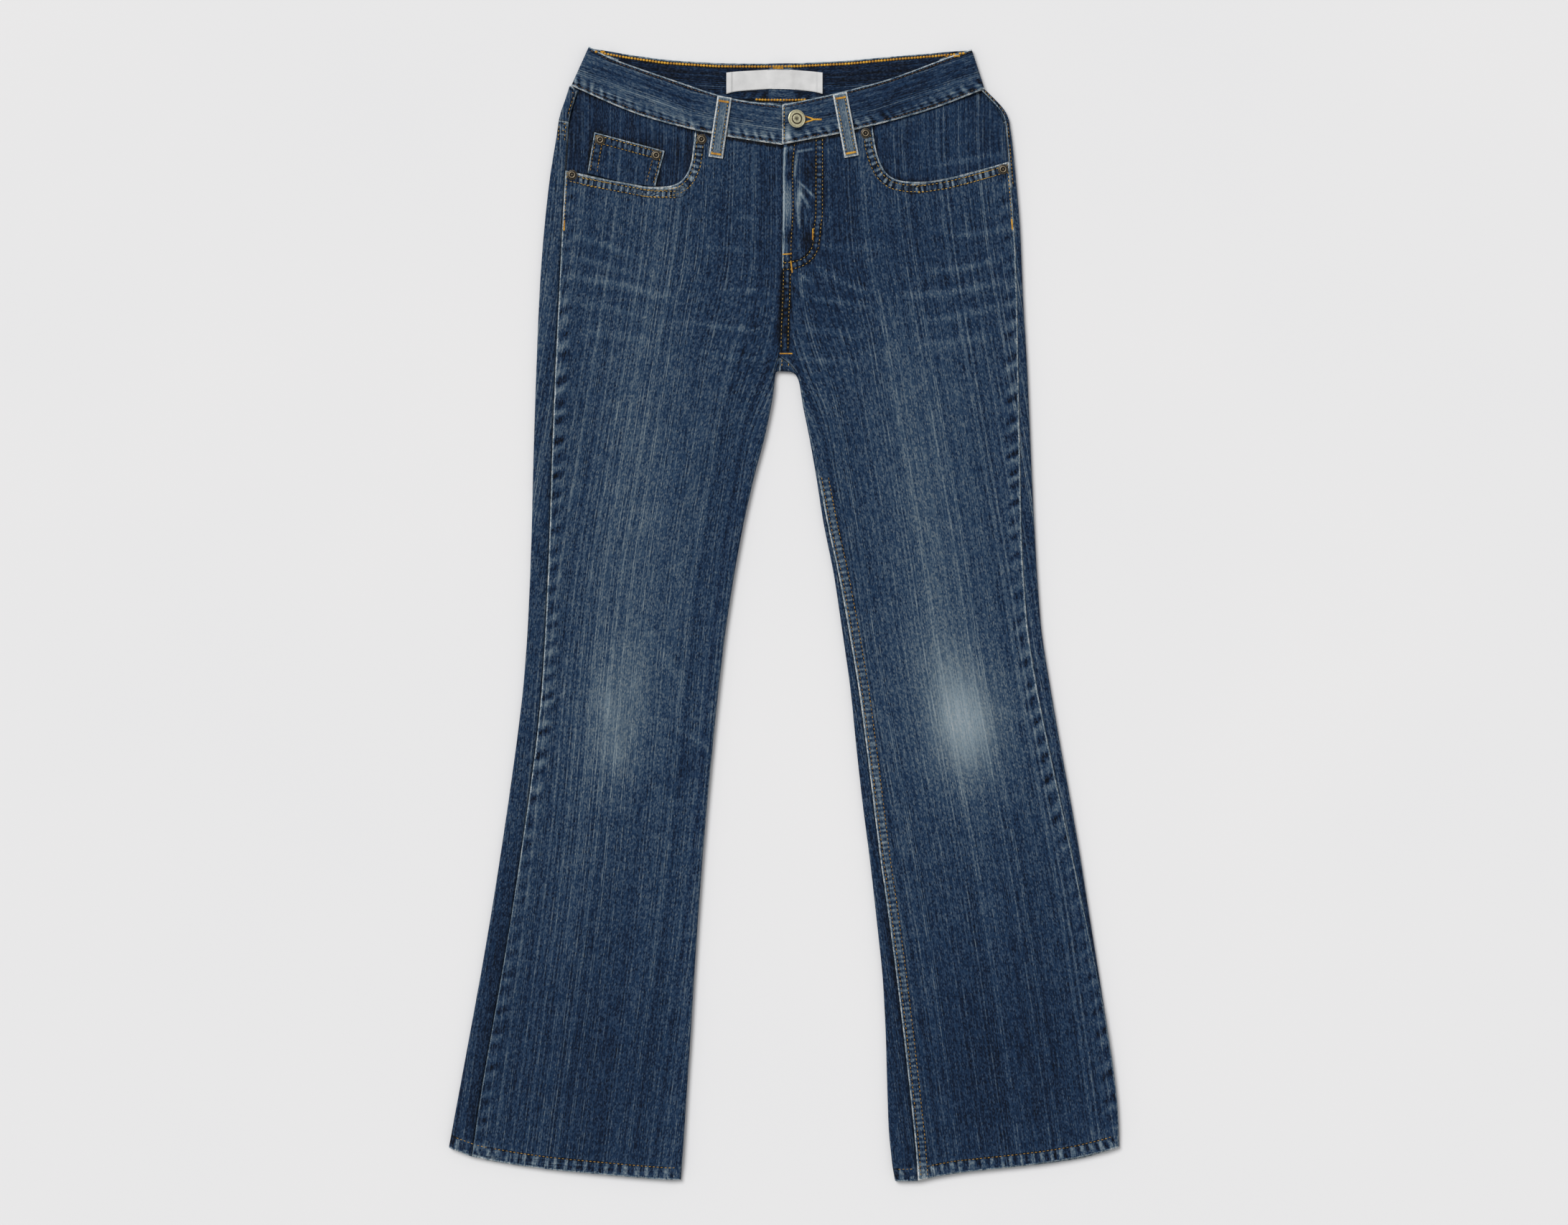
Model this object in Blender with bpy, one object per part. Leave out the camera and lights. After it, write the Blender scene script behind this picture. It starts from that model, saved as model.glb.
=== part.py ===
"""Flared five-pocket jeans, laid flat on their back with the front up.

The waist points along +Y and the hems along -Y. Left and right are the
wearer's, so the left leg lies on +X. Every named size is in millimetres and
is turned into metres where a mesh is made. The underside rests on z = 0.
"""

import math
from dataclasses import dataclass

import bmesh
import bpy
from mathutils import Matrix, Vector

MM = 0.001

# Cloth and seams
CLOTH = 1.4            # denim wall
FACING_CLOTH = 1.2     # pocket facing and coin pocket wall
BAND_WALL = 2.4        # waistband, two layers of denim
HEM_WALL = 2.6         # turned-up hem
SEAM_GAP = 0.3         # between pieces sewn edge to edge
CROTCH_GAP = 0.8       # where the inseams turn round the crotch's fold
LAID_GAP = 0.3         # between a panel and what lies on it
BAND_GAP = 0.5         # between the waistband and the panels under it

# Folds at the sides of the flattened legs and of the waistband
FOLD_RADIUS = 3.0
BAND_FOLD_RADIUS = 3.6
FOLD_STEPS = 6

# Relief of the front
LEG_DIP = 1.2          # the legs lie thinner in the middle than at their folds
HIP_SWELL = 0.3
SEAM_RIDGE = 0.6       # felled seams
SEAM_RIDGE_WIDTH = 9.0
SIDE_RIDGE = 0.5
SIDE_RIDGE_WIDTH = 14.0
FLY_RIDGE = 1.0        # the fly facing under the left front
RIDGE_SLOPE = 2.5
SCOOP_RIDGE = 0.4
SCOOP_RIDGE_WIDTH = 11.0
HEM_HEIGHT = 11.6

# Depth of the pocket facing under the front panel
FACING_DROP = 1.7
FACING_TUCK = 5.0
COIN_CLEARANCE = 0.9

# What lies under the back is let into lifted parts of its panels
UNDER_TRIM = 1.4       # back pockets and back belt loops
UNDER_LIFT = 1.7

# Waistband
CENTRE_X = -1.9        # edge of the fly
BAND_END_LIFT = 1.5    # the left end laps over the right one
BAND_END_LENGTH = 32.0
BAND_EDGE_DROP = 0.5

# Belt loops
LOOP_WIDTH = 13.4
LOOP_THICKNESS = 1.6
LOOP_MARGIN = 1.5
LOOP_RAMP = 5.5

# Hardware
BUTTON_AT = (10.7, 460.3)
BUTTON_TILT = 18.0
TURNED_STEPS = 24


@dataclass(frozen=True)
class Side:
    """The outline tables of one half, measured outwards from the centre."""

    name: str
    sign: int
    outer: tuple       # y, outer fold, outseam's distance in from it
    inner: tuple       # y, inner fold, inseam's distance out from it
    crotch: tuple      # x, y, heading of the fold, inseam's way along it
    scoop: tuple       # x, y
    hem: tuple         # x, y
    band_top: tuple    # x, y
    band_seam: tuple   # x, y
    band_fold: tuple   # top point, bottom point
    knee: tuple        # x, y of the bulge at the knee
    side_loop: float   # share of the way from the centre to the band's fold
    front_loop: tuple  # top x, top y, bottom x, bottom y
    rivets: tuple      # x, y


LEFT = Side(
    name="left",
    sign=1,
    outer=(
        (489.2, 187.2, 4.0), (470.0, 205.7, 4.0), (455.0, 211.1, 4.3),
        (439.0, 213.1, 5.0), (412.0, 215.7, 5.4), (358.0, 220.4, 5.9),
        (305.0, 222.4, 5.7), (224.0, 227.1, 8.9), (144.0, 230.5, 10.6),
        (64.0, 234.5, 13.1), (-17.0, 239.9, 12.8), (-70.0, 248.6, 12.9),
        (-124.0, 257.9, 11.1), (-204.0, 272.7, 8.7), (-285.0, 285.4, 4.2),
        (-365.0, 298.2, 1.0), (-446.0, 310.2, 0.6), (-497.0, 312.66, 0.6),
    ),
    inner=(
        (205.0, 15.2, 1.2), (144.0, 27.5, 1.6), (90.0, 35.5, 3.4),
        (37.0, 46.5, 4.2), (-17.0, 54.3, 6.3), (-70.0, 62.0, 7.6),
        (-124.0, 67.2, 9.6), (-178.0, 73.2, 10.2), (-231.0, 80.2, 9.8),
        (-285.0, 86.2, 11.6), (-338.0, 92.0, 12.9), (-392.0, 94.8, 16.6),
        (-446.0, 96.2, 21.3), (-499.0, 98.5, 24.7), (-529.0, 103.5, 21.8),
    ),
    crotch=(
        (-4.5, 226.0, 270.0, 15.7), (4.0, 225.8, 264.0, 10.0),
        (9.0, 225.2, 236.0, 4.6), (12.9, 220.4, 206.0, 3.6),
        (15.0, 212.0, 186.0, 2.8),
    ),
    scoop=(
        (82.3, 454.6), (84.9, 434.0), (88.5, 422.0), (93.9, 411.2),
        (102.0, 404.7), (113.4, 402.3), (132.8, 402.3), (165.0, 408.3),
        (208.4, 421.7),
    ),
    hem=(
        (103.5, -528.5), (119.9, -528.5), (136.0, -524.6), (156.1, -520.8),
        (207.0, -516.6), (247.9, -512.4), (274.7, -508.4), (293.5, -504.3),
        (308.0, -500.0), (312.7, -496.0),
    ),
    band_top=(
        (-1.9, 474.0), (19.4, 478.2), (45.6, 484.2), (67.0, 489.6),
        (99.2, 498.5), (157.2, 520.1), (175.1, 526.2),
    ),
    band_seam=(
        (-1.9, 437.0), (19.2, 441.1), (50.2, 447.1), (67.0, 451.2),
        (99.2, 459.1), (141.0, 471.3), (187.2, 489.2),
    ),
    band_fold=((175.1, 526.2), (187.2, 489.2)),
    knee=(165.0, -86.0),
    side_loop=0.89,
    front_loop=(51.9, 484.6, 63.0, 425.8),
    rivets=((76.0, 447.6), (204.0, 414.0)),
)

RIGHT = Side(
    name="right",
    sign=-1,
    outer=(
        (492.3, 198.5, 8.0), (466.0, 208.8, 9.8), (439.0, 213.1, 11.2),
        (412.0, 217.8, 14.1), (358.0, 223.8, 17.2), (305.0, 227.8, 18.6),
        (224.0, 231.2, 18.1), (144.0, 233.8, 17.6), (64.0, 235.8, 17.0),
        (-17.0, 239.2, 16.9), (-70.0, 243.2, 17.6), (-124.0, 249.9, 18.6),
        (-204.0, 261.3, 18.8), (-285.0, 274.0, 19.2), (-365.0, 288.1, 19.8),
        (-446.0, 303.5, 20.4), (-497.0, 312.6, 22.0),
    ),
    inner=(
        (205.0, 9.6, 0.7), (171.0, 16.1, 0.7), (144.0, 23.8, 0.7),
        (90.0, 36.6, 0.7), (37.0, 46.4, 0.7), (-17.0, 54.7, 0.7),
        (-70.0, 61.0, 0.7), (-124.0, 66.5, 0.7), (-178.0, 71.6, 0.7),
        (-231.0, 76.2, 0.7), (-285.0, 80.2, 0.7), (-338.0, 83.7, 0.7),
        (-392.0, 86.9, 0.7), (-446.0, 90.6, 0.7), (-499.0, 94.0, 0.7),
        (-529.0, 96.3, 0.7),
    ),
    crotch=(
        (4.5, 226.0, 270.0, 15.7), (6.0, 226.0, 262.0, 10.5),
        (7.6, 225.0, 230.0, 4.6), (8.6, 219.5, 195.0, 3.1),
        (9.0, 212.0, 182.0, 2.4),
    ),
    scoop=(
        (82.9, 450.4), (84.8, 432.0), (86.6, 418.2), (91.7, 406.6),
        (99.0, 400.1), (112.0, 397.1), (135.0, 398.2), (170.0, 405.8),
        (203.6, 415.1),
    ),
    hem=(
        (96.3, -527.2), (125.8, -525.6), (171.1, -522.1), (216.4, -518.4),
        (261.7, -512.6), (297.9, -505.2), (312.6, -497.0),
    ),
    band_top=(
        (1.9, 474.0), (34.8, 477.6), (62.6, 483.6), (99.2, 495.9),
        (135.3, 508.3), (164.2, 518.9), (182.2, 528.6),
    ),
    band_seam=(
        (1.9, 437.0), (19.0, 439.3), (50.9, 444.3), (77.2, 449.4),
        (120.7, 460.4), (149.8, 470.5), (186.1, 486.5), (198.5, 492.3),
    ),
    band_fold=((182.2, 528.6), (198.5, 492.3)),
    knee=(149.0, -104.0),
    side_loop=0.90,
    front_loop=(55.3, 481.4, 63.7, 424.8),
    rivets=((76.8, 441.9), (197.4, 408.8)),
)

SIDES = (LEFT, RIGHT)

# Centre seams: y, front seam's x, back seam's x
CENTRE = (
    (520.0, -1.9, 0.0), (330.0, -1.9, 0.0), (300.0, -2.6, -0.8),
    (262.0, -4.2, -2.6), (229.0, -4.5, -4.5),
)

# Lower edge of the back of the waistband, and its top edge: x, y
BACK_SEAM = ((-195.3, 490.8), (-120.0, 482.0), (-60.0, 477.5), (0.0, 475.0),
             (60.0, 477.5), (120.0, 481.5), (183.8, 488.1))
BACK_TOP = ((-178.9, 527.1), (-150.1, 522.1), (-99.2, 515.2), (-54.9, 513.2),
            (5.0, 513.2), (45.6, 514.6), (99.2, 519.6), (140.7, 522.8),
            (171.7, 525.3))

# Width of the fly's stitched facing below the waistband: y, width
FLY_WIDTH = ((440.0, 38.5), (371.0, 38.5), (364.0, 37.0), (345.0, 34.5),
             (333.5, 28.5), (324.5, 18.0), (321.0, 9.0))

# Rows of the panels: front centre y for the rows that end on the scoop
SCOOP_ROWS = (430.0, 421.0, 412.0, 403.0, 393.0, 382.0, 370.0)
# Rows above the crotch: front centre y, back centre y, outer y
HIP_ROWS = (
    (345.0, 388.0, 396.0), (333.5, 378.0, 377.0), (322.0, 362.0, 356.0),
    (302.0, 335.0, 330.0), (276.0, 298.0, 298.0), (257.0, 262.0, 272.0),
)
BACK_TOP_ROWS = ((405.0, 460.0), (400.0, 440.0))  # back centre y, outer y
SCOOP_END_ROW = (357.0, 394.0)                    # front and back centre y
# Outer y of the rows that fan round the crotch
CROTCH_ROWS = (252.0, 238.0, 226.0, 213.0, 200.0)
# Rows of the legs: inner y, outer y, share of the hem's curve
LEG_ROWS = (
    (198.0, 186.0, 0.0), (165.0, 160.0, 0.0), (128.0, 126.0, 0.0),
    (85.0, 84.0, 0.0), (37.0, 37.0, 0.0), (-17.0, -17.0, 0.0),
    (-70.0, -70.0, 0.0), (-124.0, -122.0, 0.0), (-178.0, -174.0, 0.0),
    (-231.0, -226.0, 0.0), (-285.0, -278.0, 0.0), (-338.0, -328.0, 0.0),
    (-392.0, -378.0, 0.0), (-442.0, -422.0, 0.3), (-484.0, -459.0, 0.7),
)
# Rows of the hem, above its edge: height, in the turned-up part or not
HEM_ROWS = ((12.8, False), (HEM_HEIGHT, True), (1.6, True), (0.0, True))
# Yoke rows: back centre y, outer y, and whether they lie over a belt loop
YOKE_ROWS = ((474.4, 488.7, True), (462.5, 476.0, True), (457.0, 470.0, False),
             (430.0, 465.0, False), (405.3, 460.3, False))

# Shares of the way across: front panels between their ridges, back panels
# and yokes from the centre to the outer fold, with the lifted ones marked
FRONT_SHARES = (0.0, 0.15, 0.33, 0.5, 0.67, 0.85, 1.0)
BACK_SHARES = ((0.0, False), (0.16, False), (0.205, True), (0.36, True),
               (0.515, True), (0.67, True), (0.825, True), (0.87, False),
               (1.0, False))
YOKE_SHARES = {
    "left": ((0.0, True), (0.03, True), (0.06, False), (0.35, False), (0.62, False),
             (0.775, False), (0.81, True), (0.955, True), (0.985, False),
             (1.0, False)),
    "right": ((0.0, True), (0.06, True), (0.09, False), (0.35, False), (0.62, False),
              (0.815, False), (0.85, True), (0.96, True), (0.985, False),
              (1.0, False)),
}

# Back pocket: half width, centre x, top y, lower corners' y, point's y
BACK_POCKET = (63.0, 112.0, 375.0, 262.0, 245.0)

# Coin pocket on the right facing: top corners and lower corners' x
COIN_TOP = ((176.7, 448.7), (111.3, 431.3))
COIN_LOW_X = (183.2, 120.0)
COIN_RIVETS = ((171.3, 441.5), (119.0, 427.2))

# Label: x along it, upper y, lower y
LABEL = ((-53.7, 504.5, 484.6), (-45.0, 505.6, 487.2), (-16.7, 507.2, 489.2),
         (-10.9, 507.4, 489.3), (5.5, 507.2, 488.9), (11.3, 506.9, 488.6),
         (27.5, 505.6, 486.9), (36.0, 504.5, 484.6))
LABEL_THICKNESS = 0.6
LABEL_END = 0.4        # the folded ends stand higher

FINISHES = {
    # name: base colour, roughness, metallic
    "denim": ((0.10, 0.15, 0.26, 1.0), 0.85, 0.0),
    "denim_dark": ((0.05, 0.07, 0.13, 1.0), 0.88, 0.0),
    "label_cloth": ((0.80, 0.79, 0.75, 1.0), 0.80, 0.0),
    "antique_brass": ((0.33, 0.28, 0.20, 1.0), 0.42, 0.9),
    "antique_copper": ((0.30, 0.16, 0.09, 1.0), 0.45, 0.9),
}


def smoothstep(share):
    """Ease from 0 to 1 as share goes from 0 to 1."""
    share = min(max(share, 0.0), 1.0)
    return share * share * (3.0 - 2.0 * share)


def straight(table, at, column=1):
    """Read a table by its first column, straight between its rows."""
    rows = sorted(table, key=lambda row: row[0])
    if at <= rows[0][0]:
        return rows[0][column]
    for low, high in zip(rows, rows[1:]):
        if at <= high[0]:
            share = (at - low[0]) / (high[0] - low[0])
            return low[column] + share * (high[column] - low[column])
    return rows[-1][column]


def curve(table, at, column=1):
    """Read a table by its first column, on a smooth curve through its rows."""
    rows = sorted(table, key=lambda row: row[0])
    at = min(max(at, rows[0][0]), rows[-1][0])
    last = len(rows) - 1
    here = max(i for i in range(last) if rows[i][0] <= at)

    def slope(i):
        before = rows[max(i - 1, 0)]
        after = rows[min(i + 1, last)]
        return (after[column] - before[column]) / (after[0] - before[0])

    low, high = rows[here], rows[here + 1]
    span = high[0] - low[0]
    t = (at - low[0]) / span
    rise = high[column] - low[column]
    a = slope(here) * span - rise
    b = rise - slope(here + 1) * span
    return low[column] + t * rise + t * (1 - t) * ((1 - t) * a + t * b)


def between(a, b, share):
    """Point a share of the way from a to b."""
    return tuple(p + share * (q - p) for p, q in zip(a, b))


def heading(angle):
    """Unit vector in the plane for an angle in degrees."""
    return (math.cos(math.radians(angle)), math.sin(math.radians(angle)))


@dataclass(frozen=True)
class Skin:
    """One point of a piece of cloth: its outer face, normal and wall."""

    point: tuple
    normal: tuple
    wall: float

    def inside(self):
        """The point of the inner face behind this one."""
        return tuple(p - n * self.wall for p, n in zip(self.point, self.normal))


@dataclass(frozen=True)
class Fold:
    """A stretch of folded edge, with the seam a way past its middle."""

    x: float
    y: float
    out: tuple
    seam: float
    radius: float = FOLD_RADIUS

    def at(self, way):
        """Plan point, height and normal, way mm past the fold's middle.

        The way goes up over the top where it is positive, and under the
        garment where it is negative.
        """
        quarter = self.radius * math.pi / 2
        turn = min(max(way, -quarter), quarter) / self.radius
        flat = max(abs(way) - quarter, 0.0)
        inward = self.radius * (1.0 - math.cos(turn)) + flat
        plan = (self.x - self.out[0] * inward, self.y - self.out[1] * inward)
        height = self.radius * (1.0 + math.sin(turn))
        side = math.cos(turn) if flat == 0.0 else 0.0
        rise = math.sin(turn) if flat == 0.0 else math.copysign(1.0, way)
        return plan, height, (self.out[0] * side, self.out[1] * side, rise)

    def way_to(self, distance):
        """Way along the top that lies a plan distance in from the fold."""
        if distance >= self.radius:
            return self.radius * math.pi / 2 + distance - self.radius
        return self.radius * math.acos(1.0 - distance / self.radius)


def outer_fold(side, y):
    """The fold at the outer edge of a side, at a height y."""
    step = 2.0
    run = curve(side.outer, y + step) - curve(side.outer, y - step)
    size = math.hypot(run, 2 * step)
    out = (2 * step / size, -run / size)
    if y >= side.outer[0][0] - 1.0:
        out = band_fold_heading(side)
    x = curve(side.outer, y)
    fold = Fold(x, y, out, 0.0)
    return Fold(x, y, out, fold.way_to(curve(side.outer, y, 2)))


def inner_fold(side, y):
    """The fold at the inner edge of a leg, at a height y."""
    step = 2.0
    run = curve(side.inner, y + step) - curve(side.inner, y - step)
    size = math.hypot(run, 2 * step)
    out = (-2 * step / size, run / size)
    x = curve(side.inner, y)
    fold = Fold(x, y, out, 0.0)
    return Fold(x, y, out, fold.way_to(curve(side.inner, y, 2)))


def crotch_folds(side):
    """The folds that fan round the crotch, from the centre to the leg."""
    return [Fold(x, y, heading(angle), seam) for x, y, angle, seam in side.crotch]


def band_fold_heading(side):
    """Direction that the waistband's fold faces."""
    (top_x, top_y), (low_x, low_y) = side.band_fold
    size = math.hypot(low_x - top_x, low_y - top_y)
    return ((top_y - low_y) / size, (low_x - top_x) / size)


def top_height(side, x, y):
    """Height of the front panel's face, away from its seams' ridges."""
    from_fold = curve(side.outer, y) - x
    if y < side.crotch[0][1]:
        from_fold = min(from_fold, x - curve(side.inner, y))
    flat = smoothstep((from_fold - FOLD_RADIUS) / 30.0)
    leg = smoothstep((215.0 - y) / 60.0)
    knee = math.exp(-((x - side.knee[0]) / 45.0) ** 2 - ((y - side.knee[1]) / 75.0) ** 2)
    swell = HIP_SWELL * (1.0 - leg) - LEG_DIP * leg + 0.8 * knee
    return 2 * FOLD_RADIUS + flat * swell


def centre_x(side, y, column):
    """Centre seam's x on a side's own scale, with half the seam's gap."""
    return side.sign * curve(CENTRE, y, column) + SEAM_GAP / 2


def hem_line(side, x, share):
    """How far the hem's curve leaves the line between its ends."""
    first, last = side.hem[0], side.hem[-1]
    chord = first[1] + (x - first[0]) / (last[0] - first[0]) * (last[1] - first[1])
    return share * (straight(side.hem, x) - chord)


@dataclass(frozen=True)
class Row:
    """One row of a panel, from the centre or inner fold to the outer one."""

    inner: Fold = None
    outer: Fold = None
    front_centre: float = None
    back_centre: float = None
    scoop: tuple = None
    hem_share: float = 0.0
    wall: float = CLOTH
    in_hem: bool = False


def hip_rows(side):
    """Rows from the end of the scoop down to the crotch."""
    end_y = side.scoop[-1][1]
    front, back = SCOOP_END_ROW
    rows = [Row(outer=outer_fold(side, end_y), front_centre=front, back_centre=back)]
    for front, back, outer in HIP_ROWS:
        rows.append(Row(outer=outer_fold(side, outer), front_centre=front, back_centre=back))
    return rows


def leg_rows(side):
    """Rows from the crotch to the hem's edge."""
    rows = [Row(inner=fold, outer=outer_fold(side, y))
            for fold, y in zip(crotch_folds(side), CROTCH_ROWS)]
    for inner, outer, share in LEG_ROWS:
        rows.append(Row(inner=inner_fold(side, inner), outer=outer_fold(side, outer),
                        hem_share=share))
    for height, turned in HEM_ROWS:
        inner = inner_fold(side, side.hem[0][1] + height)
        outer = outer_fold(side, side.hem[-1][1] + height)
        rows.append(Row(inner=inner, outer=outer, hem_share=1.0,
                        wall=HEM_WALL if turned else CLOTH, in_hem=turned))
    return rows


def seam_points(fold, offsets, toward):
    """Plan points, heights and normals a few offsets in from a seam.

    On the rounded edge they follow it. A seam on the flat top is left
    straight towards the other side of the panel.
    """
    points = []
    quarter = fold.radius * math.pi / 2
    start, _, _ = fold.at(fold.seam)
    size = math.dist(start, toward)
    way = ((toward[0] - start[0]) / size, (toward[1] - start[1]) / size)
    for offset in offsets:
        if fold.seam + offset < quarter:
            points.append(fold.at(fold.seam + offset))
        elif fold.seam > quarter:
            plan = (start[0] + way[0] * offset, start[1] + way[1] * offset)
            points.append((plan, None, (0.0, 0.0, 1.0)))
        else:
            plan, _, _ = fold.at(fold.seam + offset)
            points.append((plan, None, (0.0, 0.0, 1.0)))
    return points


def ridge_offsets(width):
    """Offsets from a seam that shape its ridge."""
    return (0.0, 1.2, width, width + RIDGE_SLOPE)


def front_row(side, row):
    """Outer points of a front panel along one row."""
    if row.inner is None:
        start = (centre_x(side, row.front_centre, 1), row.front_centre)
    else:
        start = row.inner.at(row.inner.seam)[0]
    if row.scoop is None:
        end = row.outer.at(row.outer.seam)[0]
    else:
        end = row.scoop
    fly = side is LEFT and row.inner is None and row.front_centre > FLY_WIDTH[-1][0]
    in_width = straight(FLY_WIDTH, row.front_centre) if fly else SEAM_RIDGE_WIDTH
    in_rise = FLY_RIDGE if fly else SEAM_RIDGE
    if row.inner is None and side is RIGHT:
        in_rise = 0.0
    out_width = SIDE_RIDGE_WIDTH if row.scoop is None else SCOOP_RIDGE_WIDTH
    out_rise = SIDE_RIDGE if row.scoop is None else SCOOP_RIDGE
    left = edge_points(row.inner, start, end, ridge_offsets(in_width))
    right = edge_points(row.outer if row.scoop is None else None, end, start,
                        ridge_offsets(out_width))
    middle = [(between(left[-1][0], right[-1][0], share), None, (0.0, 0.0, 1.0))
              for share in FRONT_SHARES[1:-1]]
    rises = [in_rise] * 3 + [0.0] * (len(middle) + 2) + [out_rise] * 3
    skins = []
    for (plan, height, normal), rise in zip(left + middle + right[::-1], rises):
        x, y = plan
        y += hem_line(side, x, row.hem_share) if row.hem_share else 0.0
        if height is None:
            height = 2 * FOLD_RADIUS if row.in_hem else top_height(side, x, y)
        rise = 0.0 if row.in_hem else rise
        point = tuple(p + n * rise for p, n in zip((x, y, height), normal))
        skins.append(Skin(point, normal, row.wall + rise))
    return skins


def edge_points(fold, start, toward, offsets):
    """Points in from a folded edge's seam, or from an open edge."""
    if fold is not None:
        return seam_points(fold, offsets, toward)
    size = math.dist(start, toward)
    way = ((toward[0] - start[0]) / size, (toward[1] - start[1]) / size)
    return [((start[0] + way[0] * offset, start[1] + way[1] * offset), None, (0.0, 0.0, 1.0))
            for offset in offsets]


def front_panel_rows(side):
    """All the rows of a front panel, from the waistband to the hem."""
    top_y = straight(side.band_seam, centre_x(side, 437.0, 1)) - BAND_GAP
    scoop_rows = [Row(front_centre=top_y, scoop=(side.scoop[0][0], side.scoop[0][1] - BAND_GAP))]
    for centre, point in zip(SCOOP_ROWS, side.scoop[1:]):
        scoop_rows.append(Row(front_centre=centre, scoop=point))
    skins = [front_row(side, row) for row in scoop_rows + hip_rows(side) + leg_rows(side)]
    first, last = skins[0][0].point, skins[0][-1].point
    for depth, row in enumerate(skins[:4]):
        share = 1.0 - depth / 4.0
        for i, skin in enumerate(row):
            x, y, z = skin.point
            chord = first[1] + (x - first[0]) / (last[0] - first[0]) * (last[1] - first[1])
            bow = straight(side.band_seam, x) - BAND_GAP - chord
            if first[0] < x < last[0]:
                row[i] = Skin((x, y + share * bow, z), skin.normal, skin.wall)
    return skins


def fold_rows(fold, wall, seam_gap):
    """Points of a back panel from its seam on top round to the underside."""
    seam = fold.seam - seam_gap
    quarter = fold.radius * math.pi / 2
    top = min(quarter, seam - 0.5)
    ways = [seam] + [top + (-quarter - top) * i / FOLD_STEPS for i in range(FOLD_STEPS + 1)]
    return [(fold.at(way), wall) for way in ways]


def back_skins(side, row, points):
    """Outer points of the back, with the heights of its flat strips."""
    skins = []
    for (plan, height, normal), wall in points:
        x, y = plan
        y += hem_line(side, x, row.hem_share) if row.hem_share else 0.0
        if normal[2] > 0.999:
            height = 2 * FOLD_RADIUS if row.in_hem else top_height(side, x, y)
        if normal[2] < -0.999:
            height = 0.0
        skins.append(Skin((x, y, height), normal, wall))
    return skins


def back_row(side, row, shares, lifted):
    """Outer points from the outseam round the fold to the centre."""
    points = fold_rows(row.outer, row.wall, SEAM_GAP)
    end = points[-1][0][0]
    if row.inner is None:
        start = (centre_x(side, row.back_centre, 2), row.back_centre)
    else:
        start = row.inner.at(-row.inner.radius * math.pi / 2)[0]
        if row.inner is crotch_centre(side, row):
            start = (start[0] + SEAM_GAP / 2, start[1])
    skins = back_skins(side, row, points)
    for share, lift in reversed(shares[:-1]):
        x, y = between(start, end, share)
        y += hem_line(side, x, row.hem_share) if row.hem_share else 0.0
        rise = UNDER_LIFT if lift and lifted else 0.0
        skins.append(Skin((x, y, rise), (0.0, 0.0, -1.0), row.wall))
    return skins


def crotch_centre(side, row):
    """The row's inner fold where it stands on the centre seam, or None."""
    fold = row.inner
    return fold if (fold.x, fold.y) == side.crotch[0][:2] else None


def wrap_row(side, row):
    """Outer points of a leg's back from the underside round to the inseam."""
    at_crotch = (row.inner.x, row.inner.y) in [place[:2] for place in side.crotch]
    points = fold_rows(row.inner, row.wall, CROTCH_GAP if at_crotch else SEAM_GAP)
    skins = back_skins(side, row, points)[::-1]
    if row.inner is crotch_centre(side, row):
        skins = [Skin((s.point[0] + SEAM_GAP / 2, *s.point[1:]), s.normal, s.wall) for s in skins]
    return skins


def back_panel_grids(side):
    """The two grids of a back panel: the back itself and its inner wrap."""
    rows = [Row(outer=outer_fold(side, outer), back_centre=centre)
            for centre, outer in BACK_TOP_ROWS]
    rows += hip_rows(side)
    legs = leg_rows(side)
    main = []
    for depth, row in enumerate(rows + legs):
        over_pocket = 4 <= depth <= len(rows)
        main.append(back_row(side, row, BACK_SHARES, over_pocket))
    wrap = [wrap_row(side, row) for row in legs]
    for main_row, wrap_line in zip(main[len(rows):], wrap):
        wrap_line[0] = main_row[-1]
    return main, wrap


def yoke_grid(side):
    """The grid of a yoke, from the waistband to the back panel."""
    rows = []
    for centre, outer, lifted in YOKE_ROWS:
        row = Row(outer=outer_fold(side, outer), back_centre=centre)
        rows.append(back_row(side, row, YOKE_SHARES[side.name], lifted))
    flat = slice(FOLD_STEPS + 2, None)
    for i, skin in enumerate(rows[0][flat], start=FOLD_STEPS + 2):
        x, _, z = skin.point
        y = curve(BACK_SEAM, side.sign * x) - BAND_GAP
        rows[0][i] = Skin((x, y, z), skin.normal, skin.wall)
    return rows


def mirrored(skin, side):
    """A skin point in the garment's own frame."""
    if side.sign > 0:
        return skin
    x, y, z = skin.point
    a, b, c = skin.normal
    return Skin((-x, y, z), (-a, b, c), skin.wall)


def material(name):
    """The finish of that name, made once."""
    found = bpy.data.materials.get(name)
    if found is not None:
        return found
    colour, roughness, metallic = FINISHES[name]
    made = bpy.data.materials.new(name)
    made.use_nodes = True
    shader = made.node_tree.nodes["Principled BSDF"]
    shader.inputs["Base Color"].default_value = colour
    shader.inputs["Roughness"].default_value = roughness
    shader.inputs["Metallic"].default_value = metallic
    made.diffuse_color = colour
    return made


def add_object(name, bm, finish, sharp_angle=40.0):
    """Make an object of a bmesh, smooth but for its sharp edges."""
    bmesh.ops.recalc_face_normals(bm, faces=bm.faces[:])
    mesh = bpy.data.meshes.new(name)
    bm.to_mesh(mesh)
    bm.free()
    mesh.materials.append(material(finish))
    mesh.shade_smooth()
    mesh.set_sharp_from_angle(angle=math.radians(sharp_angle))
    obj = bpy.data.objects.new(name, mesh)
    bpy.context.scene.collection.objects.link(obj)
    return obj


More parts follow.
